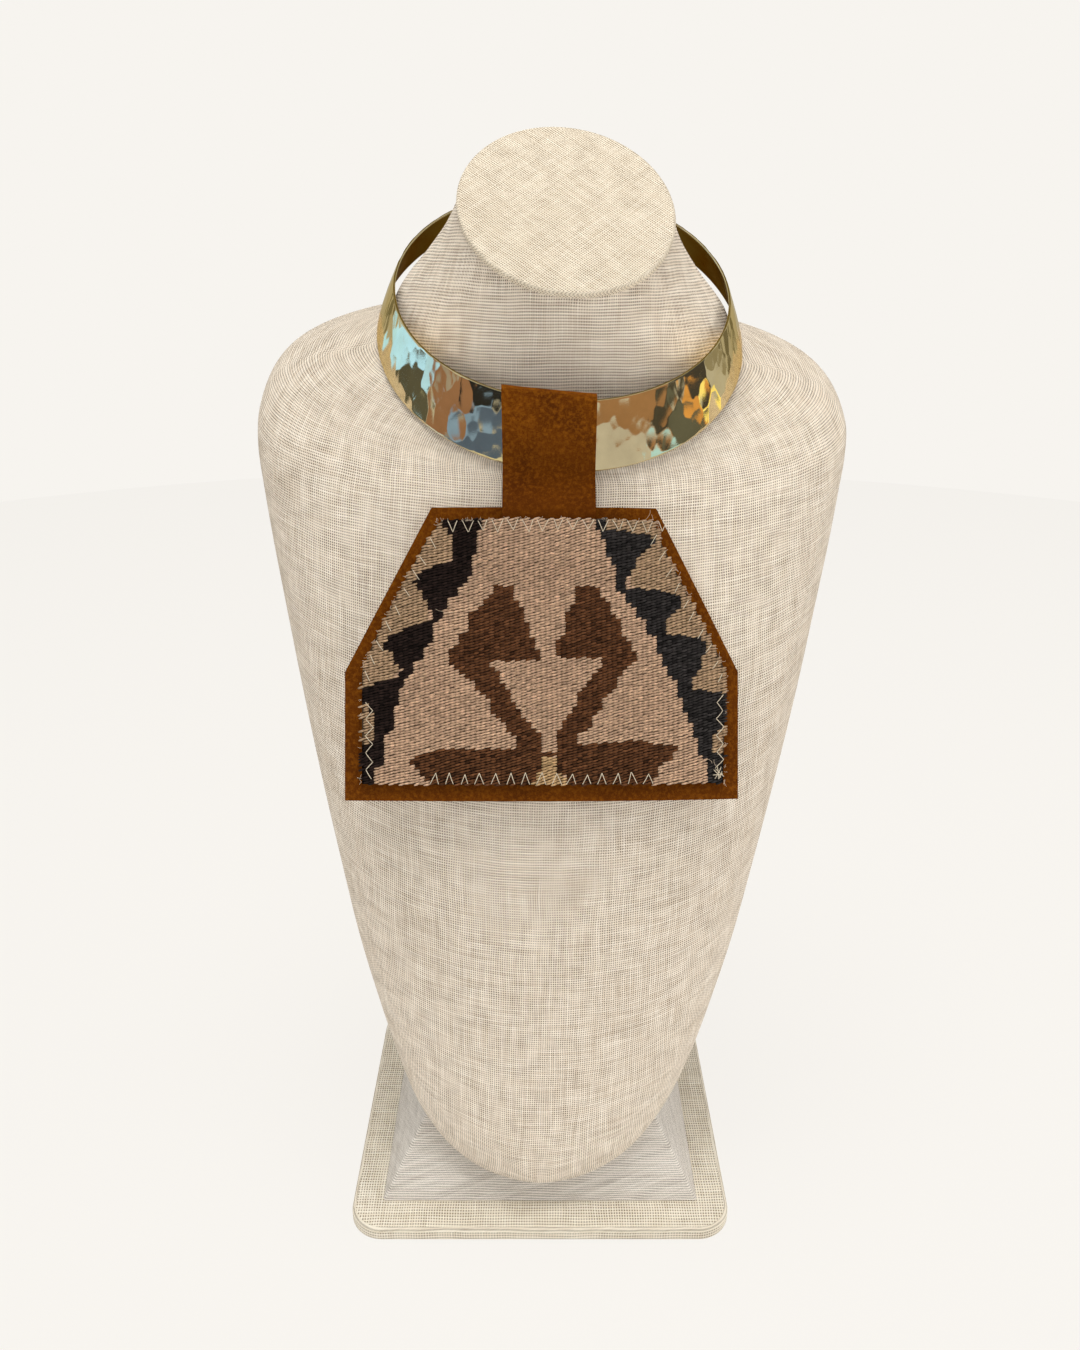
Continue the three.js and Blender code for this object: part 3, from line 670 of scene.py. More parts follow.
def suede(name, colour, dark, light, lit_from=0.0, lit_to=0.0):
    """Brushed suede: a short nap that catches the light in patches, with fine specks and a soft sheen.
    Where lit_from and lit_to are given, painted shade darkens it downwards from lit_to to lit_from, heights
    in metres."""
    material, tree, shader = new_material(name)
    where = add(tree, "ShaderNodeTexCoord").outputs["Object"]
    patches = speckle(tree, where, scale=45, detail=3)
    nap = speckle(tree, where, scale=620, detail=3, roughness=0.65)
    fibre = speckle(tree, where, scale=2400, roughness=0.7)
    tone = blend_colours(tree, spread(tree, patches, 0.3, 0.7), dark, colour)
    tone = blend_colours(tree, spread(tree, nap, 0.45, 0.8), tone, light)
    tone = blend_colours(tree, spread(tree, fibre, 0.5, 0.85, to_high=0.55), tone, light)
    tone = blend_colours(tree, spread(tree, fibre, 0.5, 0.2, to_high=0.6), tone, dark)
    if lit_to > lit_from:
        # Painted shade: darker towards the bottom, from lit_to down to lit_from.
        level = add(tree, "ShaderNodeSeparateXYZ", {"Vector": where}).outputs["Z"]
        tone = blend_colours(tree, spread(tree, level, lit_from, lit_to, to_low=0.7, to_high=0.0), tone, dark)
    height = reckon(tree, "ADD", nap, reckon(tree, "MULTIPLY", fibre, 0.6))
    give(tree, shader, {
        "Base Color": tone,
        "Normal": bumps(tree, height, 0.5, 0.3),
        "Roughness": 0.9,
        "Specular IOR Level": 0.06,
        "Sheen Weight": 0.05,
        "Sheen Roughness": 0.45,
        "Sheen Tint": (0.95, 0.5, 0.12, 1),
    })
    return material


suede_face = suede("rust_suede", colour=(0.118, 0.030, 0.001), dark=(0.074, 0.0175, 0.0008),
                   light=(0.225, 0.07, 0.004))
suede_edge = suede("suede_cut_edge", colour=(0.24, 0.10, 0.02), dark=(0.15, 0.055, 0.01),
                   light=(0.38, 0.19, 0.06))
lower_rows = np.linspace(0, BACKING_SLOPE_FROM, BACKING_LOWER_ROWS)
upper_rows = np.linspace(BACKING_SLOPE_FROM, 1, BACKING_UPPER_ROWS)
backing_rows = np.unique(np.concatenate([lower_rows, upper_rows]))[:, None]
backing_columns = np.linspace(0, 1, BACKING_COLUMNS)[None]
backing_up = backing_rows * BACKING_HEIGHT
left, right = backing_sides(backing_up)
backing_x = left + (right - left) * backing_columns
backing_up = np.broadcast_to(backing_up, backing_x.shape)
backing = two_faced(
    "suede_backing",
    panel_point(backing_x, backing_up, BACKING_THICKNESS),
    panel_point(backing_x, backing_up, 0.0),
    np.stack([backing_x, backing_up], axis=-1),
)
backing.data.materials.append(suede_face)
backing.data.materials.append(suede_edge)
hand_over(backing, "bib_suede", "backing")


# Strap: a band of the same suede folded in half over the collar's front. Both ends are sewn between the
# backing and the kilim, so that the panel hangs from it.
STRAP_WIDTH = 35
STRAP_THICKNESS = 1.3
STRAP_LAP = 15
STRAP_EASE = 0.6
STRAP_FOLD_HEIGHT = 1.7
STRAP_X = 3.372
STRAP_COLUMNS = 25
STRAP_STEPS = 5
STRAP_FOLD_POINTS = 9

fold_turns = np.linspace(0, math.pi, STRAP_FOLD_POINTS)


def band_across(x):
    """The band's hem and rim points at places across, with the rim's turns."""
    rim_turn = np.arcsin((x - RIM_CENTRE[0]) / RIM_RADIUS)
    hem, rim, _ = band_at(np.arcsin((x - HEM_CENTRE[0]) / HEM_RADIUS), rim_turn)
    return hem, rim, rim_turn


def to_straight(x):
    """From the rim at x to the straight line between the rim's points at the strap's two edges."""
    _, ends, _ = band_across(STRAP_X + np.array((-0.5, 0.5)) * STRAP_WIDTH)
    share = (x - STRAP_X) / STRAP_WIDTH + 0.5
    return (ends[0] + (ends[1] - ends[0]) * share - band_across(x)[1]) * (0, 1, 1)


rim_bow = max(to_straight(STRAP_X + (share - 0.5) * STRAP_WIDTH)[1] for share in np.linspace(0, 1, 9))


def strap_path(x):
    """The middle of the suede at one place across, from its front end over the band to its back end.
    Its fold and outer leg run straight across in front of the band, and its inner leg follows the band."""
    hem, rim, rim_turn = band_across(x)
    way = (rim - hem) * (0, 1, 1)
    way = way / np.linalg.norm(way)
    out = np.array((0, -way[2], way[1]))
    flat = to_straight(x) - (0, rim_bow, 0)
    slant = 1 / math.cos(rim_turn)
    outside = (STRAP_EASE + STRAP_THICKNESS / 2) * slant
    inside = -COLLAR_WALL * slant - outside
    outer_rim = rim + flat + out * outside
    outer_hem = hem + (0, flat[1], 0) + out * outside
    inner_rim = np.array((rim[0], rim[1], outer_rim[2])) + out * inside
    fold_centre = (outer_rim + inner_rim) / 2
    reach = outer_rim - fold_centre
    height = min(np.linalg.norm(reach), STRAP_FOLD_HEIGHT)
    fold = [fold_centre + reach * math.cos(turn) + way * height * math.sin(turn) for turn in fold_turns]

    def in_panel(up, stack):
        return panel_point(x - PANEL_TOP[0], up, BACKING_THICKNESS + GAP + stack)

    front = GAP + 1.5 * STRAP_THICKNESS
    back = STRAP_THICKNESS / 2
    heights = (BACKING_HEIGHT - STRAP_LAP, BACKING_HEIGHT - STRAP_LAP / 2, BACKING_HEIGHT + GAP)
    path = [in_panel(up, front) for up in heights]
    path += [outer_hem, (outer_hem + outer_rim) / 2]
    path += fold
    path += [(hem + rim) / 2 + out * inside, hem + out * inside]
    path += [in_panel(up, back) for up in reversed(heights)]
    path = np.array(path)
    path[:, 0] = x
    return path


strap_x = STRAP_X + np.linspace(-0.5, 0.5, STRAP_COLUMNS) * STRAP_WIDTH
strap_middle = np.array([eased(strap_path(x), STRAP_STEPS) for x in strap_x]).transpose(1, 0, 2)
ways = np.gradient(strap_middle, axis=0)
normals = np.stack([np.zeros(ways.shape[:2]), -ways[..., 2], ways[..., 1]], axis=-1)
normals /= np.linalg.norm(normals, axis=-1, keepdims=True)
strap_places = np.stack([np.broadcast_to(strap_x, ways.shape[:2]), lengths(strap_middle)], axis=-1)
strap = two_faced("strap_loop_suede", strap_middle + normals * STRAP_THICKNESS / 2,
                  strap_middle - normals * STRAP_THICKNESS / 2, strap_places)
# The strap's suede is lighter than the backing's as painted light on its fold, with painted shade darker
# towards the bottom.
strap_suede_painted_light = suede("strap_suede_painted_light", colour=(0.165, 0.044, 0.0012), dark=(0.06, 0.013, 0.0006),
                    light=(0.31, 0.098, 0.005), lit_from=0.315, lit_to=0.352)
strap.data.materials.append(strap_suede_painted_light)
strap.data.materials.append(suede_edge)
hand_over(strap, "bib_suede", "strap_loop")


# Kilim: a piece cut from a flat-woven wool rug in a traditional stepped pattern. The weft covers the warp in
# short slanting beads, and every colour ends in small steps where its weft turns back.
KILIM_MARGIN = 6.2
KILIM_TOP_MARGIN = 4.8
KILIM_THICKNESS = 2.6
# Shares of the backing's height, and there the edges' insets as shares of the margin.
KILIM_INSET_UP = (0, 0.44, 0.52, 0.7, 0.88, 1)
KILIM_INSET_LEFT = (1.03, 1.03, 0.8, 0.7, 0.74, 1.15)
KILIM_INSET_RIGHT = (0.97, 0.75, 0.68, 0.72, 0.76, 0.3)
RISE_WAY = 14
RISE_MARGIN = 3
WARP_PITCH = 1.9
WEFT_PITCH = 1.03
BEAD_THICKNESS = 0.95
BEAD_SLANT = math.radians(15.5)
BEAD_COLUMNS = 38
BEAD_ROWS = 112
# Each bead's length, height and depth: the middle and the spread of its share of the pitches and thickness.
BEAD_LENGTHS = (1.6, 0.08)
BEAD_HEIGHTS = (1.08, 0.08)
BEAD_DEPTHS = (0.9, 0.06)
BEAD_SINK = 0.72
BEAD_SIDE_INSET = 0.5
BEAD_END_INSET = 0.2
BEAD_RAGGED = (-0.3, 0.4)
# How far beads stray across, up and in slant, then the slow waves of warp and weft, in millimetres.
BEAD_STRAY = 0.07
BEAD_STRAY_UP = 0.06
BEAD_STRAY_SLANT = 0.07
WARP_WAVE = 0.5
WARP_WAVE_LENGTH = 23.0
WARP_WAVE_START = 0.7
WEFT_WAVE = 0.35
WEFT_WAVE_LENGTH = 14.0
WEFT_RIPPLE = 0.3
WEFT_RIPPLE_LENGTH = 5.2
WEFT_RIPPLE_ROWS = 19.0
# The plain ground under the beads lies this far inside them at the sides and at the ends, this many bead
# thicknesses below their tops, and darker, as painted shade in the crevices between the beads.
GROUND_INSET = 0.5
GROUND_END_INSET = 0.3
GROUND_SINK = 0.75
GROUND_PAINTED_SHADE = 0.42
GROUND_ROWS = 84
GROUND_COLUMNS = 110
# Wools with less red than this show their strands more unevenly.
DARK_WOOL = 0.2
DARK_TONE_SPREAD = 0.3
PALE_TONE_SPREAD = 0.12
TONE_LIMITS = (0.35, 2.0)
GROUND_WOOL = (0.57, 0.372, 0.243)
TAUPE_WOOL = (0.43, 0.285, 0.168)
BLACK_WOOL = (0.019, 0.0115, 0.0095)
CHARCOAL_WOOL = (0.030, 0.0265, 0.0255)
BROWN_WOOL = (0.11, 0.045, 0.019)
TAN_WOOL = (0.52, 0.335, 0.165)
# The middles of the dark bands, where the ground wool outside them turns taupe.
BAND_UP = (5, 40, 60, 80, 106)
LEFT_BAND_MIDDLE = (-66, -60, -48, -38, -30)
RIGHT_BAND_MIDDLE = (64, 56, 48, 34, 21)
# The pattern's outlines, their corners listed as places across and up the panel, in millimetres.
LEFT_BAND = (
    (-21.5, 105.7), (-24.1, 99.4), (-24.4, 94.1), (-26.4, 88.9), (-27.3, 83.1), (-31.5, 79.9), (-32, 77.3),
    (-36.2, 75.2), (-36.8, 69.9), (-40.4, 66.7), (-40.4, 63.6), (-41.5, 59.3), (-44.7, 57.8), (-44.7, 54.1),
    (-48.3, 52), (-48.3, 47.8), (-52, 45.6), (-53.1, 41.4), (-53.1, 36.2), (-55.7, 35.1), (-56.2, 26.7),
    (-59.4, 24.6), (-59.9, 14), (-63.1, 12.5), (-63.6, 5.6), (-70, 5.6), (-70, 20.4), (-63.6, 22.5),
    (-63.6, 31.9), (-65.2, 36.7), (-70, 37.7), (-68.4, 41.4), (-62, 44.6), (-54.1, 46.2), (-52.6, 49.9),
    (-55.7, 52), (-55.7, 56.2), (-59.4, 57.2), (-59.4, 59.3), (-57.3, 62), (-48.3, 66.2), (-42, 67.2),
    (-40.4, 70.9), (-43.1, 72.5), (-44.7, 78.3), (-48.3, 82), (-45.2, 86.2), (-37.8, 89.4), (-33.1, 90.4),
    (-33.6, 99.4), (-36.2, 100.4), (-37.3, 106.5), (-21.5, 106.5),
)
RIGHT_BAND = (
    (22.8, 106.5), (23.3, 101.5), (39.1, 100.4), (42.3, 97.8), (38.1, 93.1), (34.9, 91.5), (33.8, 86.7),
    (30.7, 83.1), (30.2, 79.9), (44.4, 79.4), (51.8, 77.3), (52.3, 73.6), (49.1, 70.9), (45.4, 66.7),
    (46, 63), (59.1, 61.5), (62.3, 58.3), (62.3, 56.2), (59.7, 54.1), (60.2, 49.9), (56.5, 46.7),
    (56.5, 42), (70, 40.4), (70, 28.8), (64.9, 24.6), (64.4, 18.3), (70, 17.2), (70, 8.2), (70, 5),
    (61.8, 5), (61.2, 16.1), (58.6, 17.2), (58.6, 23.5), (56, 24.6), (55.4, 31.9), (53.3, 33),
    (52.8, 37.7), (50.2, 39.3), (49.7, 45.6), (46, 47.8), (45.4, 54.1), (42.3, 56.2), (42.3, 61.5),
    (38.6, 63.6), (38.1, 67.8), (34.9, 68.8), (34.4, 73), (31.7, 74.1), (30.7, 77.3), (27.5, 79.4),
    (26.5, 82.5), (25.9, 91), (22.8, 91.5), (22.8, 96.2), (20.1, 101.5), (19.1, 106.5),
)
LEFT_HOOK = (
    (-18.3, 80.9), (-19.1, 77.3), (-23.1, 74.1), (-23.3, 72), (-27.8, 70.4), (-28.1, 63.6), (-31.5, 62),
    (-32, 58.3), (-35.7, 56.2), (-35.9, 52), (-31.5, 49.3), (-27.8, 45.6), (-25.2, 44.6), (-24.6, 41.4),
    (-19.4, 37.2), (-18.6, 33), (-15.7, 30.9), (-13, 26.7), (-9.9, 24), (-9.4, 19.8), (-36.8, 19.8),
    (-45.2, 18.3), (-50.5, 15.1), (-47.8, 13), (-45.2, 9.8), (-41, 5), (-5.1, 5), (-1.5, 9.8), (-0.9, 16.7),
    (-0.7, 19.3), (-0.1, 22.5), (-0.9, 26.2), (-4.6, 27.7), (-5.1, 29.8), (-7.8, 31.9), (-8.3, 34.1),
    (-10.9, 36.2), (-11.5, 40.4), (-13.6, 42), (-15.2, 44.6), (-16.2, 47.8), (-19.4, 50.4), (-19.9, 52.5),
    (-1.5, 53), (-2.5, 60.4), (-4.9, 62.5), (-5.1, 66.7), (-7.2, 68.8), (-7.8, 73), (-10.2, 75.2),
    (-10.4, 80.4),
)
RIGHT_HOOK = (
    (20.7, 80.4), (21.2, 77.3), (24.4, 74.6), (25.4, 71.5), (28.6, 67.8), (29.1, 62.5), (32.3, 60.4),
    (32.8, 57.2), (35.4, 55.7), (35.4, 52.5), (31.7, 50.4), (28.6, 46.7), (27.5, 42.5), (23.3, 39.3),
    (21.2, 34.1), (18, 30.9), (17.5, 27.7), (13.8, 25.6), (12.8, 21.4), (36, 23), (42.3, 21.4), (51.2, 20.4),
    (48.1, 15.6), (44.4, 13.5), (40.2, 5), (11.2, 5), (8, 9.8), (5.4, 11.4), (4.9, 17.2), (4.9, 19.3),
    (4.9, 25.6), (7, 27.7), (7.5, 29.8), (10.7, 34.1), (12.8, 36.2), (13.3, 41.4), (15.9, 43.5), (18, 46.7),
    (19.6, 48.8), (22.3, 50.9), (22.8, 53.6), (4.9, 54.1), (4.9, 60.4), (7.5, 62.5), (7.5, 67.8), (10.1, 73),
    (12.2, 74.1), (12.8, 80.9),
)
FOOT_PATCH = ((-0.9, 17.2), (4.9, 16.7), (5.4, 11.9), (7.5, 9.8), (11.2, 5), (-5.1, 5), (-1.5, 9.8))
JOINING_BAR = ((-0.9, 18.7), (4.9, 18.7), (4.9, 17.2), (-0.9, 17.2))


def smooth_step(value):
    """0 below 0, 1 above 1 and a smooth rise in between."""
    value = np.clip(value, 0, 1)
    return value * value * (3 - 2 * value)


def kilim_lift(x, up):
    """How far the kilim's back stands out: it lies on the backing and rises over the strap's two ends."""
    aside = np.abs(x + PANEL_TOP[0] - STRAP_X) - STRAP_WIDTH / 2 - RISE_MARGIN
    below = BACKING_HEIGHT - up - STRAP_LAP - RISE_MARGIN
    near = smooth_step(1 - aside / RISE_WAY) * smooth_step(1 - below / RISE_WAY)
    return BACKING_THICKNESS + GAP + 2 * (STRAP_THICKNESS + GAP) * near


def kilim_sides(up):
    """Where the kilim's left and right edges are at a height."""
    left, right = backing_sides(up)
    share = up / BACKING_HEIGHT
    left = left + KILIM_MARGIN * np.interp(share, KILIM_INSET_UP, KILIM_INSET_LEFT)
    right = right - KILIM_MARGIN * np.interp(share, KILIM_INSET_UP, KILIM_INSET_RIGHT)
    return left, right


def inside(outline, x, up):
    """Which places lie inside an outline."""
    outline = np.array(outline)
    found = np.zeros(np.shape(x), dtype=bool)
    for (x0, up0), (x1, up1) in zip(outline, np.roll(outline, -1, axis=0)):
        crosses = (up0 > up) != (up1 > up)
        with np.errstate(divide="ignore", invalid="ignore"):
            found ^= crosses & (x < (x1 - x0) * (up - up0) / (up1 - up0) + x0)
    return found


def wool_colour(x, up):
    """The colour of the weft at places on the panel."""
    colour = np.empty((*np.shape(x), 3))
    colour[:] = GROUND_WOOL
    outside = (x < np.interp(up, BAND_UP, LEFT_BAND_MIDDLE)) | (x > np.interp(up, BAND_UP, RIGHT_BAND_MIDDLE))
    colour[outside] = TAUPE_WOOL
    for outline, wool in (
        (LEFT_BAND, BLACK_WOOL),
        (RIGHT_BAND, CHARCOAL_WOOL),
        (LEFT_HOOK, BROWN_WOOL),
        (RIGHT_HOOK, BROWN_WOOL),
        (FOOT_PATCH, TAN_WOOL),
        (JOINING_BAR, BROWN_WOOL),
    ):
        colour[inside(outline, x, up)] = wool
    return colour


def wool(name):
    """Spun wool coloured by the piece's own attribute, with fibres running along the weft."""
    material, tree, shader = new_material(name)
    colour = add(tree, "ShaderNodeAttribute", attribute_name="wool").outputs["Color"]
    where = add(tree, "ShaderNodeTexCoord").outputs["Object"]
    place = {"Vector": where, "Rotation": (0, BEAD_SLANT, 0), "Scale": (0.3, 1, 1.5)}
    drawn = add(tree, "ShaderNodeMapping", place).outputs[0]
    fibre = speckle(tree, drawn, scale=3800, roughness=0.6)
    # Painted shade: each bead is darker towards its low parts, by the rise it keeps from the bead tree.
    rise = add(tree, "ShaderNodeAttribute", attribute_name="rise").outputs["Fac"]
    deep = spread(tree, rise, 0.1, 0.85, to_low=0.34, to_high=1.08)
    tone = reckon(tree, "MULTIPLY", spread(tree, fibre, 0.3, 0.7, to_low=0.62, to_high=1.3), deep)
    give(tree, shader, {
        "Base Color": blend_colours(tree, 1.0, colour, tone, "MULTIPLY"),
        "Normal": bumps(tree, fibre, 0.6, 0.25),
        "Roughness": 0.95,
        "Specular IOR Level": 0.05,
        "Sheen Weight": 0.03,
        "Sheen Roughness": 0.5,
    })
    return material


def store(mesh, name, kind, field, rows):
    """Stores a row of numbers for each point of a mesh."""
    attribute = mesh.attributes.new(name, kind, "POINT")
    attribute.data.foreach_set(field, np.asarray(rows, dtype=float).ravel())


def store_wool(mesh, colours):
    """Gives a mesh the colour of its wool, point by point."""
    store(mesh, "wool", "FLOAT_COLOR", "color", np.column_stack([colours, np.ones(len(colours))]))


kilim_wool = wool("kilim_wool")
ground_foot = KILIM_MARGIN + GROUND_END_INSET
ground_head = BACKING_HEIGHT - KILIM_TOP_MARGIN - GROUND_END_INSET
ground_up = np.linspace(ground_foot, ground_head, GROUND_ROWS)[:, None]
left, right = kilim_sides(ground_up)
across = np.linspace(0, 1, GROUND_COLUMNS)[None]
ground_x = (left + GROUND_INSET) + (right - left - 2 * GROUND_INSET) * across
ground_up = np.broadcast_to(ground_up, ground_x.shape)
ground_lift = kilim_lift(ground_x, ground_up)
ground = two_faced(
    "kilim_ground",
    panel_point(ground_x, ground_up, ground_lift + KILIM_THICKNESS - BEAD_THICKNESS * GROUND_SINK),
    panel_point(ground_x, ground_up, ground_lift),
    np.stack([ground_x, ground_up], axis=-1),
)
both_faces = np.concatenate([wool_colour(ground_x, ground_up).reshape(-1, 3)] * 2)
# The ground's darker tone is painted shade between the beads.
store_wool(ground.data, both_faces * GROUND_PAINTED_SHADE)
ground.data.materials.append(kilim_wool)
ground.data.polygons.foreach_set("material_index", [0] * len(ground.data.polygons))
hand_over(ground, "kilim_wool", "kilim")

# The weft lies in rows of beads, every other column half a row higher. Warp and weft wander in slow waves.
weave_rng = np.random.default_rng(5)
column, row = np.meshgrid(np.arange(-BEAD_COLUMNS, BEAD_COLUMNS + 1), np.arange(0, BEAD_ROWS))
bead_x = column * WARP_PITCH + weave_rng.normal(0, BEAD_STRAY, column.shape)
bead_x = bead_x + WARP_WAVE * np.sin(row * WEFT_PITCH / WARP_WAVE_LENGTH + WARP_WAVE_START)
bead_up = (row + 0.5 * (column % 2)) * WEFT_PITCH
ripple = WEFT_RIPPLE * np.sin(bead_x / WEFT_RIPPLE_LENGTH + row / WEFT_RIPPLE_ROWS)
bead_up = bead_up + WEFT_WAVE * np.sin(bead_x / WEFT_WAVE_LENGTH) + ripple
bead_up = bead_up + weave_rng.normal(0, BEAD_STRAY_UP, column.shape)
left, right = kilim_sides(bead_up)
ragged = weave_rng.uniform(*BEAD_RAGGED, (2, *column.shape))
kept = (bead_x > left + BEAD_SIDE_INSET + ragged[0]) & (bead_x < right - BEAD_SIDE_INSET - ragged[1])
kept &= bead_up > KILIM_MARGIN + BEAD_END_INSET
kept &= bead_up < BACKING_HEIGHT - KILIM_TOP_MARGIN - BEAD_END_INSET
bead_x = bead_x[kept]
bead_up = bead_up[kept]
bead_count = len(bead_x)
bead_lift = kilim_lift(bead_x, bead_up) + KILIM_THICKNESS - BEAD_THICKNESS * BEAD_SINK
bead_colour = wool_colour(bead_x, bead_up)
tone_spread = np.where(bead_colour[:, :1] < DARK_WOOL, DARK_TONE_SPREAD, PALE_TONE_SPREAD)
bead_tone = 1.0 + tone_spread * weave_rng.normal(0, 1, (bead_count, 1))
bead_colour = bead_colour * np.clip(bead_tone, *TONE_LIMITS)
bead_turn = BEAD_SLANT + weave_rng.normal(0, BEAD_STRAY_SLANT, bead_count)
bead_size = np.column_stack([
    WARP_PITCH * weave_rng.normal(*BEAD_LENGTHS, bead_count),
    WEFT_PITCH * weave_rng.normal(*BEAD_HEIGHTS, bead_count),
    2 * BEAD_THICKNESS * weave_rng.normal(*BEAD_DEPTHS, bead_count),
])
step = 0.05  # half the span over which a bead's directions are measured
bead_tangent = panel_point(bead_x + step, bead_up, bead_lift) - panel_point(bead_x - step, bead_up, bead_lift)
bead_rise = panel_point(bead_x, bead_up + step, kilim_lift(bead_x, bead_up + step))
bead_rise = bead_rise - panel_point(bead_x, bead_up - step, kilim_lift(bead_x, bead_up - step))
bead_tangent /= np.linalg.norm(bead_tangent, axis=1, keepdims=True)
bead_out = np.cross(bead_tangent, bead_rise)
bead_out /= np.linalg.norm(bead_out, axis=1, keepdims=True)
bead_side = np.cross(bead_out, bead_tangent)
along_bead = bead_tangent * np.cos(bead_turn)[:, None] + bead_side * np.sin(bead_turn)[:, None]
across_bead = np.cross(bead_out, along_bead)
bead_axes = np.stack([along_bead, across_bead, bead_out], axis=-1)
bead_facing = [Matrix(axes.tolist()).to_euler() for axes in bead_axes]


def geometry_tree(name, sizes):
    """A Geometry Nodes tree with named number inputs, as (tree, its input node, its output node)."""
    tree = bpy.data.node_groups.new(name, "GeometryNodeTree")
    tree.interface.new_socket("Geometry", in_out="INPUT", socket_type="NodeSocketGeometry")
    for label, value in sizes.items():
        socket = tree.interface.new_socket(label, in_out="INPUT", socket_type="NodeSocketFloat")
        socket.default_value = value
    tree.interface.new_socket("Geometry", in_out="OUTPUT", socket_type="NodeSocketGeometry")
    return tree, add(tree, "NodeGroupInput"), add(tree, "NodeGroupOutput")


def seeds(name, points, edges=()):
    """A mesh of points and edges in millimetres, for a tree to grow a piece from."""
    mesh = bpy.data.meshes.new(name)
    mesh.from_pydata((np.asarray(points) * MM).tolist(), list(edges), [])
    return mesh


def grown(name, mesh, tree):
    """A plain piece that a Geometry Nodes tree makes from a mesh."""
    piece = linked(name, mesh)
    piece.modifiers.new("grown", "NODES").node_group = tree
    made_plain(piece)
    return piece


tree, tree_in, tree_end = geometry_tree("weft_beads", {"Fullness": 1.0})
ball = add(tree, "GeometryNodeMeshUVSphere", {"Segments": 5, "Rings": 4, "Radius": 0.5}).outputs[0]
bead = add(tree, "GeometryNodeTransform", {"Geometry": ball, "Rotation": (0, math.pi / 2, 0)}).outputs[0]
# Each bead keeps its height as rise, which the wool uses for painted shade on its low parts.
place = add(tree, "ShaderNodeSeparateXYZ", {0: add(tree, "GeometryNodeInputPosition").outputs[0]})
rise = reckon(tree, "MULTIPLY", place.outputs["Z"], 2.0)
bead = add(tree, "GeometryNodeStoreNamedAttribute", {"Geometry": bead, "Name": "rise", "Value": rise},
           data_type="FLOAT", domain="POINT").outputs[0]
facing, size = [
    add(tree, "GeometryNodeInputNamedAttribute", {"Name": stored}, data_type="FLOAT_VECTOR").outputs[0]
    for stored in ("facing", "size")
]
size = add(tree, "ShaderNodeVectorMath", {0: size, "Scale": tree_in.outputs["Fullness"]}, operation="SCALE")
beads = add(tree, "GeometryNodeInstanceOnPoints", {
    "Points": tree_in.outputs["Geometry"],
    "Instance": bead,
    "Rotation": facing,
    "Scale": size.outputs[0],
})
beads = add(tree, "GeometryNodeRealizeInstances", {"Geometry": beads.outputs[0]})
beads = add(tree, "GeometryNodeSetShadeSmooth", {"Geometry": beads.outputs[0]})
beads = add(tree, "GeometryNodeSetMaterial", {"Geometry": beads.outputs[0], "Material": kilim_wool})
tree.links.new(beads.outputs[0], tree_end.inputs[0])

bead_seeds = seeds("kilim_weft", panel_point(bead_x, bead_up, bead_lift))
store(bead_seeds, "facing", "FLOAT_VECTOR", "vector", bead_facing)
store(bead_seeds, "size", "FLOAT_VECTOR", "vector", bead_size * MM)
store_wool(bead_seeds, bead_colour)
weft = grown("kilim_weft", bead_seeds, tree)
hand_over(weft, "kilim_wool")


# Stitches: cream sewing thread in separate pointed stitches at the kilim's top and foot, a zigzag down its
# lower sides and single slanting stitches up both slopes, with a knot at the lower right corner.
THREAD_RADIUS = 0.15
THREAD_COLOUR = (0.72, 0.62, 0.46)
THREAD_SIDES = 6
THREAD_POINTS = 5
# How far a thread lies over the wool at its ends and in its middle, and how deep its ends dip in.
THREAD_LOW = 0.1
THREAD_HIGH = 0.42
KNOT_HIGH = 0.8
THREAD_DIP = 0.35
SEAM_FOOT_INSET = 0.5
SEAM_HEAD_INSET = 0.6
# How far stitches stray, and from which to which share of their width and depth, or length, they vary.
TENT_STRAY = 0.15
TENT_TIP_STRAY = 0.25
TENT_WIDTHS = (0.8, 1.2)
TENT_DEPTHS = (0.85, 1.12)
ZIGZAG_STRAY = 0.14
ZIGZAG_DEPTHS = (0.85, 1.15)
SLOPE_STRAY = 0.4
SLOPE_INSETS = (1.6, 2.6)
SLOPE_LENGTHS = (3.4, 4.6)
SLOPE_LEANS = (52, 66)


def yarn(name, dark, light, scale, detail, roughness):
    """Thread or hair whose tone changes from place to place."""
    material, tree, shader = new_material(name)
    where = add(tree, "ShaderNodeTexCoord").outputs["Object"]
    tone = speckle(tree, where, scale, detail)
    give(tree, shader, {"Base Color": blend_colours(tree, tone, dark, light), "Roughness": roughness})
    return material


def tube_tree(name, radius, sides, material, smooth):
    """A tree that makes a tube of a radius in millimetres along every run of edges."""
    tree, tree_in, tree_end = geometry_tree(name, {"Radius": radius * MM})
    line = add(tree, "GeometryNodeMeshToCurve", {"Mesh": tree_in.outputs["Geometry"]}).outputs[0]
    size = {"Resolution": sides, "Radius": tree_in.outputs["Radius"]}
    ring = add(tree, "GeometryNodeCurvePrimitiveCircle", size).outputs[0]
    parts = {"Curve": line, "Profile Curve": ring, "Fill Caps": True}
    tube = add(tree, "GeometryNodeCurveToMesh", parts).outputs[0]
    if smooth:
        tube = add(tree, "GeometryNodeSetShadeSmooth", {"Geometry": tube}).outputs[0]
    tube = add(tree, "GeometryNodeSetMaterial", {"Geometry": tube, "Material": material}).outputs[0]
    tree.links.new(tube, tree_end.inputs[0])
    return tree


stitch_rng = np.random.default_rng(9)
stitch_points = []
stitch_edges = []


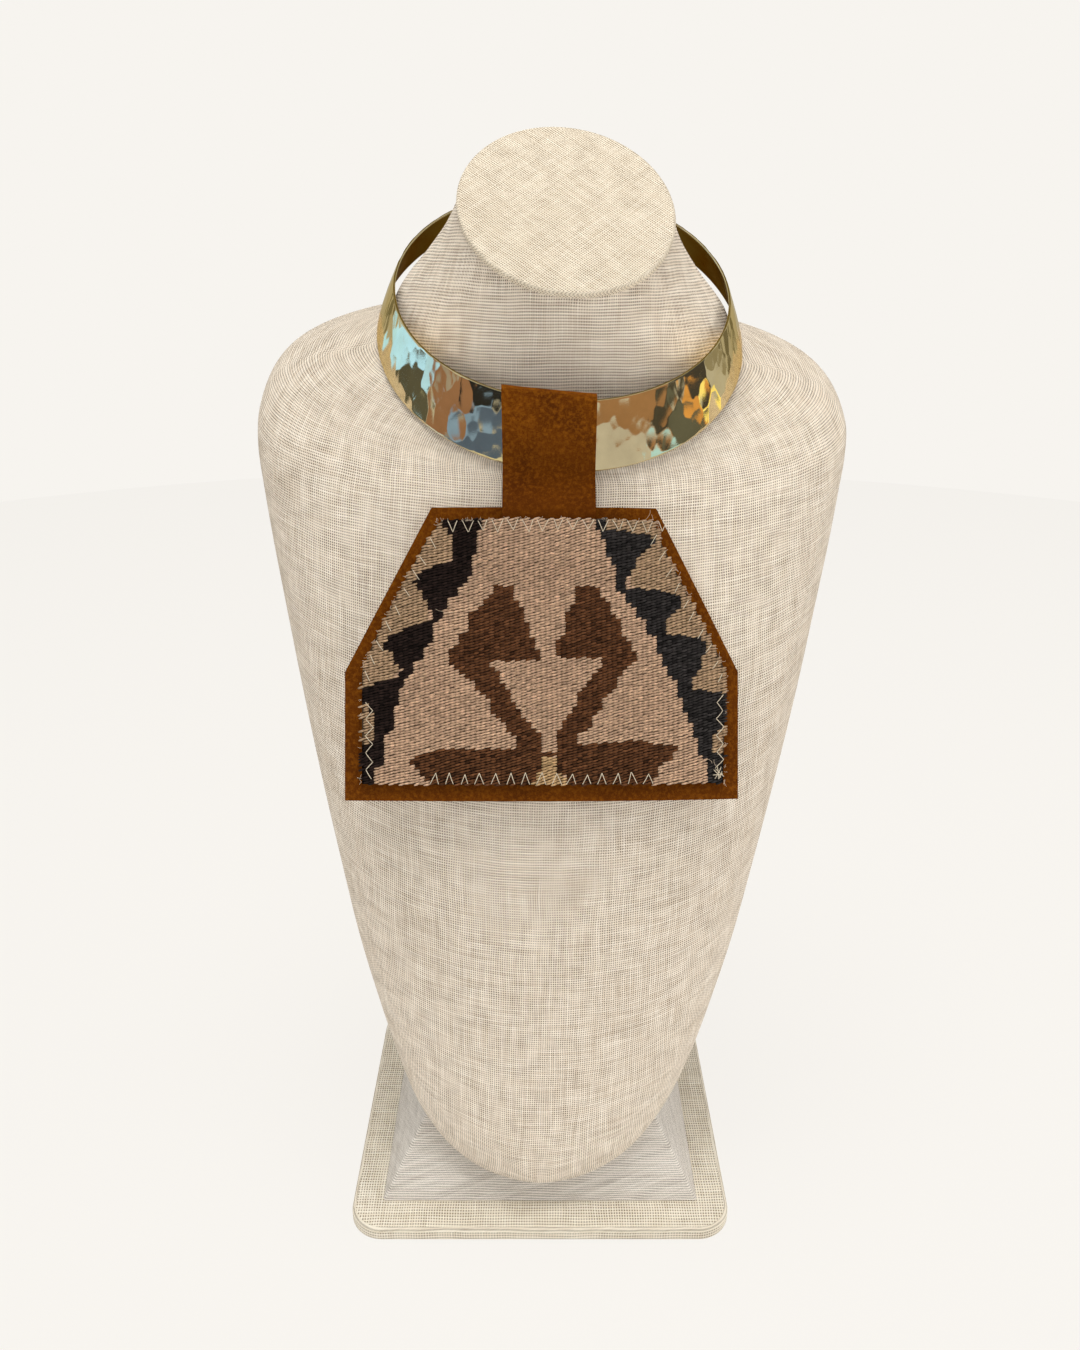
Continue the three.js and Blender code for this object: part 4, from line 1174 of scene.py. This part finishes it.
def lay_thread(places, high=THREAD_HIGH):
    """A thread over the kilim through places across and up, dipping into the wool at each of them."""
    for start, end in zip(places[:-1], places[1:]):
        first = len(stitch_points)
        for share in np.linspace(0, 1, THREAD_POINTS):
            x = start[0] + (end[0] - start[0]) * share
            up = start[1] + (end[1] - start[1]) * share
            arch = THREAD_LOW + (high - THREAD_LOW) * math.sin(math.pi * share)
            arch -= THREAD_DIP * (share in (0, 1))
            lift = kilim_lift(x, up) + KILIM_THICKNESS + arch
            stitch_points.append(panel_point(x, up, lift))
        stitch_edges.extend((first + i, first + i + 1) for i in range(THREAD_POINTS - 1))


def tents(from_x, to_x, up, pitch, width, depth):
    """Separate pointed stitches along a level row, whose points reach depth up or down from it."""
    for number in range(int(round((to_x - from_x) / pitch)) + 1):
        x = from_x + number * pitch + stitch_rng.normal(0, TENT_STRAY)
        half = width / 2 * stitch_rng.uniform(*TENT_WIDTHS)
        tip = up + depth * stitch_rng.uniform(*TENT_DEPTHS)
        lay_thread([(x - half, up), (x + stitch_rng.normal(0, TENT_TIP_STRAY), tip), (x + half, up)])


def zigzag(start, end, pitch, depth, inward):
    """A zigzag between two places, whose points reach inward from the line."""
    start = np.array(start)
    end = np.array(end)
    count = int(round(np.linalg.norm(end - start) / pitch * 2))
    places = []
    for number in range(count + 1):
        place = start + (end - start) * number / count
        if number % 2:
            place = place + np.array(inward) * depth * stitch_rng.uniform(*ZIGZAG_DEPTHS)
        places.append(place + stitch_rng.normal(0, ZIGZAG_STRAY, 2))
    lay_thread(places)


foot = KILIM_MARGIN + SEAM_FOOT_INSET
head = BACKING_HEIGHT - KILIM_TOP_MARGIN - SEAM_HEAD_INSET
tents(-33.6, 42.0, head, pitch=5.6, width=3.7, depth=-4.2)
tents(-40.6, 40.6, foot, pitch=5.7, width=3.1, depth=4.1)
zigzag((-66.6, 37.5), (-66.4, 8.5), pitch=6.2, depth=2.8, inward=(1, 0))
zigzag((68.4, 40), (68.6, 9.0), pitch=6.0, depth=2.9, inward=(-1, 0))
for side, slope_start, slope_end, count in ((-1, 44, 100, 9), (1, 43, 101, 10)):
    for number in range(count):
        up = slope_start + (slope_end - slope_start) * (number + 0.5) / count
        up += stitch_rng.normal(0, SLOPE_STRAY)
        x = kilim_sides(up)[0 if side < 0 else 1] - side * stitch_rng.uniform(*SLOPE_INSETS)
        length = stitch_rng.uniform(*SLOPE_LENGTHS)
        lean = math.radians(stitch_rng.uniform(*SLOPE_LEANS))
        lay_thread([(x, up + length / 2 * math.sin(lean)),
                    (x - side * length * math.cos(lean), up - length / 2 * math.sin(lean))])
for places in (
    [(64.8, 11.5), (67.4, 8.6)],
    [(65.2, 8.2), (67.6, 12.6)],
    [(66.0, 13.2), (66.6, 8.0), (67.9, 10.8)],
    [(64.4, 9.6), (68.2, 9.9)],
):
    lay_thread(places, high=KNOT_HIGH)
thread_shade = tuple(0.7 * c for c in THREAD_COLOUR)
thread = yarn("cream_thread", thread_shade, THREAD_COLOUR, scale=4200, detail=1, roughness=0.7)
thread_tree = tube_tree("thread", THREAD_RADIUS, THREAD_SIDES, thread, smooth=True)
stitches = grown("zigzag_stitches", seeds("zigzag_stitches", stitch_points, stitch_edges), thread_tree)
hand_over(stitches, "kilim_wool")


# Loose fibres: stray hairs of wool at the kilim's sides and top edge, thinner than the thread, with a few
# longer ones near its corners.
FIBRE_RADIUS = 0.06
FIBRE_SIDES = 4
FIBRE_POINTS = 7
FIBRE_LOW = 0.25
FIBRE_ARCH = 0.35
FIBRE_KINK = 0.12
SIDE_FIBRES = 80
SIDE_FIBRE_INSET = 0.4
SIDE_FIBRE_FAN = 0.9
SIDE_FIBRE_LENGTHS = (0.8, 2.0)
SIDE_FIBRE_CURL = 0.2
TOP_FIBRES = 60
TOP_FIBRE_REACH = (-40, 44)
TOP_FIBRE_INSET = 0.3
TOP_FIBRE_FAN = 0.7
TOP_FIBRE_LENGTHS = (0.9, 1.9)
TOP_FIBRE_CURL = 0.25

fibre_rng = np.random.default_rng(21)
fibre_points = []
fibre_edges = []


def lay_fibre(x, up, heading, length, curl):
    """A curling hair that starts on the kilim and lies close over it."""
    first = len(fibre_points)
    for number in range(FIBRE_POINTS):
        arch = FIBRE_LOW + FIBRE_ARCH * math.sin(math.pi * number / (FIBRE_POINTS - 1))
        fibre_points.append(panel_point(x, up, kilim_lift(x, up) + KILIM_THICKNESS + arch))
        x += length / FIBRE_POINTS * math.cos(heading)
        up += length / FIBRE_POINTS * math.sin(heading)
        heading += curl + fibre_rng.normal(0, FIBRE_KINK)
    fibre_edges.extend((first + i, first + i + 1) for i in range(FIBRE_POINTS - 1))


for number in range(SIDE_FIBRES):
    up = fibre_rng.uniform(KILIM_MARGIN, BACKING_HEIGHT - KILIM_TOP_MARGIN)
    side = fibre_rng.integers(0, 2)
    x = kilim_sides(up)[side] + (-SIDE_FIBRE_INSET if side else SIDE_FIBRE_INSET)
    heading = fibre_rng.normal(0 if side else math.pi, SIDE_FIBRE_FAN)
    length = fibre_rng.uniform(*SIDE_FIBRE_LENGTHS)
    lay_fibre(x, up, heading, length, fibre_rng.normal(0, SIDE_FIBRE_CURL))
for number in range(TOP_FIBRES):
    x = fibre_rng.uniform(*TOP_FIBRE_REACH)
    heading = fibre_rng.normal(math.pi / 2, TOP_FIBRE_FAN)
    length = fibre_rng.uniform(*TOP_FIBRE_LENGTHS)
    lay_fibre(x, head - TOP_FIBRE_INSET, heading, length, fibre_rng.normal(0, TOP_FIBRE_CURL))
for x, up, heading, length, curl in (
    (37.0, 104.6, 0.5, 7.0, 0.25), (38.5, 104.0, 1.3, 4.5, -0.3), (40.0, 103.2, 0.9, 5.5, 0.2),
    (-40.0, 72.0, -0.5, 8.0, 0.05), (64.0, 14.0, 1.9, 5.0, 0.3), (66.0, 12.5, 2.4, 4.0, -0.2),
):
    lay_fibre(x, up, heading, length, curl)
hair = yarn("stray_fibre", (0.42, 0.31, 0.21), (0.70, 0.58, 0.44), scale=800, detail=2, roughness=0.8)
fibre_tree = tube_tree("fibres", FIBRE_RADIUS, FIBRE_SIDES, hair, smooth=False)
fibres = grown("loose_fibres", seeds("loose_fibres", fibre_points, fibre_edges), fibre_tree)
hand_over(fibres, "kilim_wool")


# Studio: a plain pale floor that bends up into a backdrop all round, a soft key lamp above, weaker ones at
# the right, low in front and up from the floor, and the plain cards of a room that a polished band mirrors,
# which only gloss sees.
FLOOR_COLOUR = (0.93, 0.905, 0.863)
FLOOR_GLOW = 0.9
FLOOR_REACH = 1.6
BACKDROP_BEND = 1.5
BACKDROP_HEIGHT = 4.0
CAMERA_PLACE = (0, -0.4417, 0.4184)
CAMERA_PITCH = math.radians(68)
CAMERA_LENS = 29.87
CAMERA_SENSOR = 36
CAMERA_NEAR = 0.01
ROOM_REACH = 4.0
# Each card stands this much nearer than the one before, so that later cards cover earlier ones.
CARD_STEP = 0.05
CARD_POINTS = 9
ROOM_GLOW = (0.60, 0.59, 0.51)
ROOM_MIDDLE = (0.008, 0.03, 0.37)
# What the band mirrors: turns from the front to the right and heights, both in degrees, and a glow. The left
# end's heights come first and then the right end's.
ROOM_COLUMNS = ("from_turn", "to_turn", "low_left", "high_left", "low_right", "high_right", "glow")
ROOM_CARDS = (
    (-134, -84, -13, 0, -13, 0, (0.34, 0.35, 0.25)),
    (-112, -84, -9, -1, -13, -1, (0.12, 0.12, 0.09)),
    (-130, -86, 0.0, 5.5, -1.5, 3.5, (0.64, 1.22, 1.98)),
    (-91, -82, -8, 1, -9, 2, (0.58, 1.05, 1.6)),
    (-116, -108, -11, -9, -11, -9, (0.9, 0.95, 0.3)),
    (-82, -55, -19, 2, -19, -6, (0.36, 0.20, 0.12)),
    (-76, -66, -9, -3, -9, -3, (0.42, 0.38, 0.34)),
    (-58, -28, -18.5, -4, -18.5, -6, (0.03, 0.03, 0.03)),
    (-66, -44, -21.5, -15.5, -21.5, -16.5, (0.28, 0.45, 0.75)),
    (-74, -25, -27, -19.5, -28, -20, (0.114, 0.168, 0.29)),
    (-86, -72, -22, -16, -24, -18, (0.8, 1.0, 1.2)),
    (-54, -28, -35, -27, -36, -28, (0.9, 0.85, 0.6)),
    (10, 60, -38, -24, -38, -21, (0.66, 0.64, 0.58)),
    (12, 68, -24.5, -6, -21.5, -4, (0.42, 0.24, 0.12)),
    (56, 76, -22, -19, -19, -9, (0.085, 0.078, 0.06)),
    (54, 76, -28, -23.5, -26, -21.5, (0.55, 0.95, 1.15)),
    (68, 104, -22, -13.5, -19, -10, (0.15, 0.155, 0.12)),
    (68, 99, -10, 9, -9, 9, (0.076, 0.07, 0.06)),
    (95, 118, -11, -8, -9, -6.5, (1.4, 1.2, 0.38)),
    (78, 97, -13.5, -9.5, -12, -8.5, (0.9, 0.45, 0.12)),
    (100, 117, -3, 3, -3, 5, (0.36, 0.33, 0.23)),
    (-142, -134, 4, 10, 4, 10, (0.25, 0.24, 0.17)),
    (118, 126, -2, 5, -2, 5, (0.22, 0.20, 0.13)),
    (136, 143, 0, 8, 0, 8, (0.25, 0.24, 0.17)),
    (-170, -60, 15, 25, 17, 32, (0.32, 0.30, 0.22)),
    (60, 170, 17, 32, 15, 25, (0.32, 0.30, 0.22)),
    (-125, -65, 36, 60, 40, 60, (1.1, 1.1, 1.05)),
    (65, 125, 40, 60, 36, 60, (1.1, 1.1, 1.05)),
    (-172, -110, -42, -18, -36, -20, (0.30, 0.22, 0.15)),
    (118, 172, -36, -20, -42, -18, (0.30, 0.22, 0.15)),
    (150, 178, 8, 15, 10, 14, (0.10, 0.10, 0.08)),
    (-178, -160, -12, -4, -10, -5, (0.15, 0.15, 0.12)),
)


def glowing(name, colour, glow, matt=(0, 0, 0)):
    """A plain finish with a glow of its own, for what isn't part of the object."""
    material, tree, shader = new_material(name)
    give(tree, shader, {
        "Base Color": (*matt, 1),
        "Roughness": 1.0,
        "Specular IOR Level": 0.0,
        "Emission Color": (*colour, 1),
        "Emission Strength": glow,
    })
    return material


def staged(name, rows, material, seen_by):
    """A surface that isn't part of the object, from a grid of points in metres, seen by some kinds of ray."""
    rows = np.asarray(rows, dtype=float)
    high, wide = rows.shape[:2]
    faces = [(r * wide + c, r * wide + c + 1, (r + 1) * wide + c + 1, (r + 1) * wide + c)
             for r in range(high - 1) for c in range(wide - 1)]
    mesh = bpy.data.meshes.new(name)
    mesh.from_pydata(rows.reshape(-1, 3).tolist(), [], faces)
    mesh.materials.append(material)
    mesh.shade_smooth()
    surface = linked(name, mesh)
    for kind in ("camera", "diffuse", "glossy", "transmission", "shadow"):
        setattr(surface, "visible_" + kind, kind in seen_by)


def turned_rows(profile):
    """A grid of points that turns a profile of reaches and heights round the upright axis."""
    around = np.linspace(0, 2 * math.pi, 97)
    return [[(reach * math.sin(a), -reach * math.cos(a), height) for a in around]
            for reach, height in profile]


matt_floor = tuple((1 - FLOOR_GLOW) * part for part in FLOOR_COLOUR)
pale_floor = glowing("pale_floor", FLOOR_COLOUR, FLOOR_GLOW, matt_floor)
staged("floor", turned_rows([(0.0, 0.0), (FLOOR_REACH, 0.0)]), pale_floor, ("camera", "diffuse", "shadow"))
bend = [(FLOOR_REACH + BACKDROP_BEND * math.sin(a), BACKDROP_BEND * (1 - math.cos(a)))
        for a in np.linspace(0, math.pi / 2, 25)]
pale_wall = glowing("pale_wall", FLOOR_COLOUR, 1.0)
staged("backdrop", turned_rows([*bend, (bend[-1][0], BACKDROP_HEIGHT)]), pale_wall, ("camera",))


def room_point(turn, height, reach):
    """A place in the room, seen from the band's middle by its turn and height in degrees."""
    turn = math.radians(turn)
    height = math.radians(height)
    way = np.array((math.sin(turn) * math.cos(height), -math.cos(turn) * math.cos(height), math.sin(height)))
    return tuple(np.array(ROOM_MIDDLE) + reach * way)


room = [[room_point(turn, height, ROOM_REACH + 1) for turn in np.linspace(-180, 180, 49)]
        for height in np.linspace(-90, 90, 25)]
staged("room", room, glowing("room_glow", ROOM_GLOW, 1.0), ("glossy",))
for number, row in enumerate(ROOM_CARDS):
    card = dict(zip(ROOM_COLUMNS, row))
    reach = ROOM_REACH - CARD_STEP * number
    grid = []
    for up in (0.0, 1.0):
        line = []
        for share in np.linspace(0, 1, CARD_POINTS):
            low = card["low_left"] + (card["low_right"] - card["low_left"]) * share
            high = card["high_left"] + (card["high_right"] - card["high_left"]) * share
            turn = card["from_turn"] + (card["to_turn"] - card["from_turn"]) * share
            line.append(room_point(turn, low + (high - low) * up, reach))
        grid.append(line)
    staged(f"room_card_{number}", grid, glowing(f"card_glow_{number}", card["glow"], 1.0), ("glossy",))

scene = bpy.context.scene
scene.view_settings.view_transform = "Standard"
world = bpy.data.worlds.new("studio")
world.use_nodes = True
give(world.node_tree, world.node_tree.nodes["Background"], {"Color": (0.94, 0.93, 0.91, 1), "Strength": 0.5})
scene.world = world


def soft_light(name, place, target, size, power, colour):
    """An area light at a place, turned to a target."""
    data = bpy.data.lights.new(name, "AREA")
    data.shape = "RECTANGLE"
    data.size, data.size_y = size
    data.energy = power
    data.color = colour
    lamp = linked(name, data)
    lamp.visible_camera = False
    lamp.visible_glossy = False
    lamp.location = place
    from_target = np.array(place) - np.array(target)
    side = np.cross((0.001, 0, 1), from_target)
    side /= np.linalg.norm(side)
    out = from_target / np.linalg.norm(from_target)
    lamp.rotation_euler = Matrix(np.column_stack([side, np.cross(out, side), out]).tolist()).to_euler()


soft_light("key", place=(-0.1, -0.3, 2.1), target=(0, 0, 0.35), size=(1.2, 1.0),
           power=27, colour=(1, 0.985, 0.96))
soft_light("fill", place=(1.6, -0.5, 0.5), target=(0, 0, 0.2), size=(0.9, 1.0),
           power=9.5, colour=(1, 0.97, 0.95))
soft_light("front", place=(-1.0, -1.3, 0.15), target=(0, 0, 0.12), size=(1.2, 0.4),
           power=4.0, colour=(1, 0.985, 0.98))
soft_light("bounce", place=(0, -0.26, 0.01), target=(0, -0.24, 1), size=(0.8, 0.34),
           power=0.4, colour=(1, 0.98, 0.96))
# The inside of the band throws a warm glow on both sides of the neck.
for side, place, target in (
    ("left", (-0.05, 0.008, 0.376), (-0.02, 0.02, 0.395)),
    ("right", (0.066, 0.008, 0.372), (0.03, 0.02, 0.392)),
):
    soft_light("brass_glow_" + side, place, target, size=(0.05, 0.014), power=0.0012, colour=(1, 0.66, 0.16))

camera_data = bpy.data.cameras.new("camera")
camera_data.sensor_fit = "VERTICAL"
camera_data.sensor_height = CAMERA_SENSOR
camera_data.lens = CAMERA_LENS
camera_data.clip_start = CAMERA_NEAR
camera = linked("camera", camera_data)
camera.location = CAMERA_PLACE
camera.rotation_euler = (CAMERA_PITCH, 0, 0)
scene.camera = camera
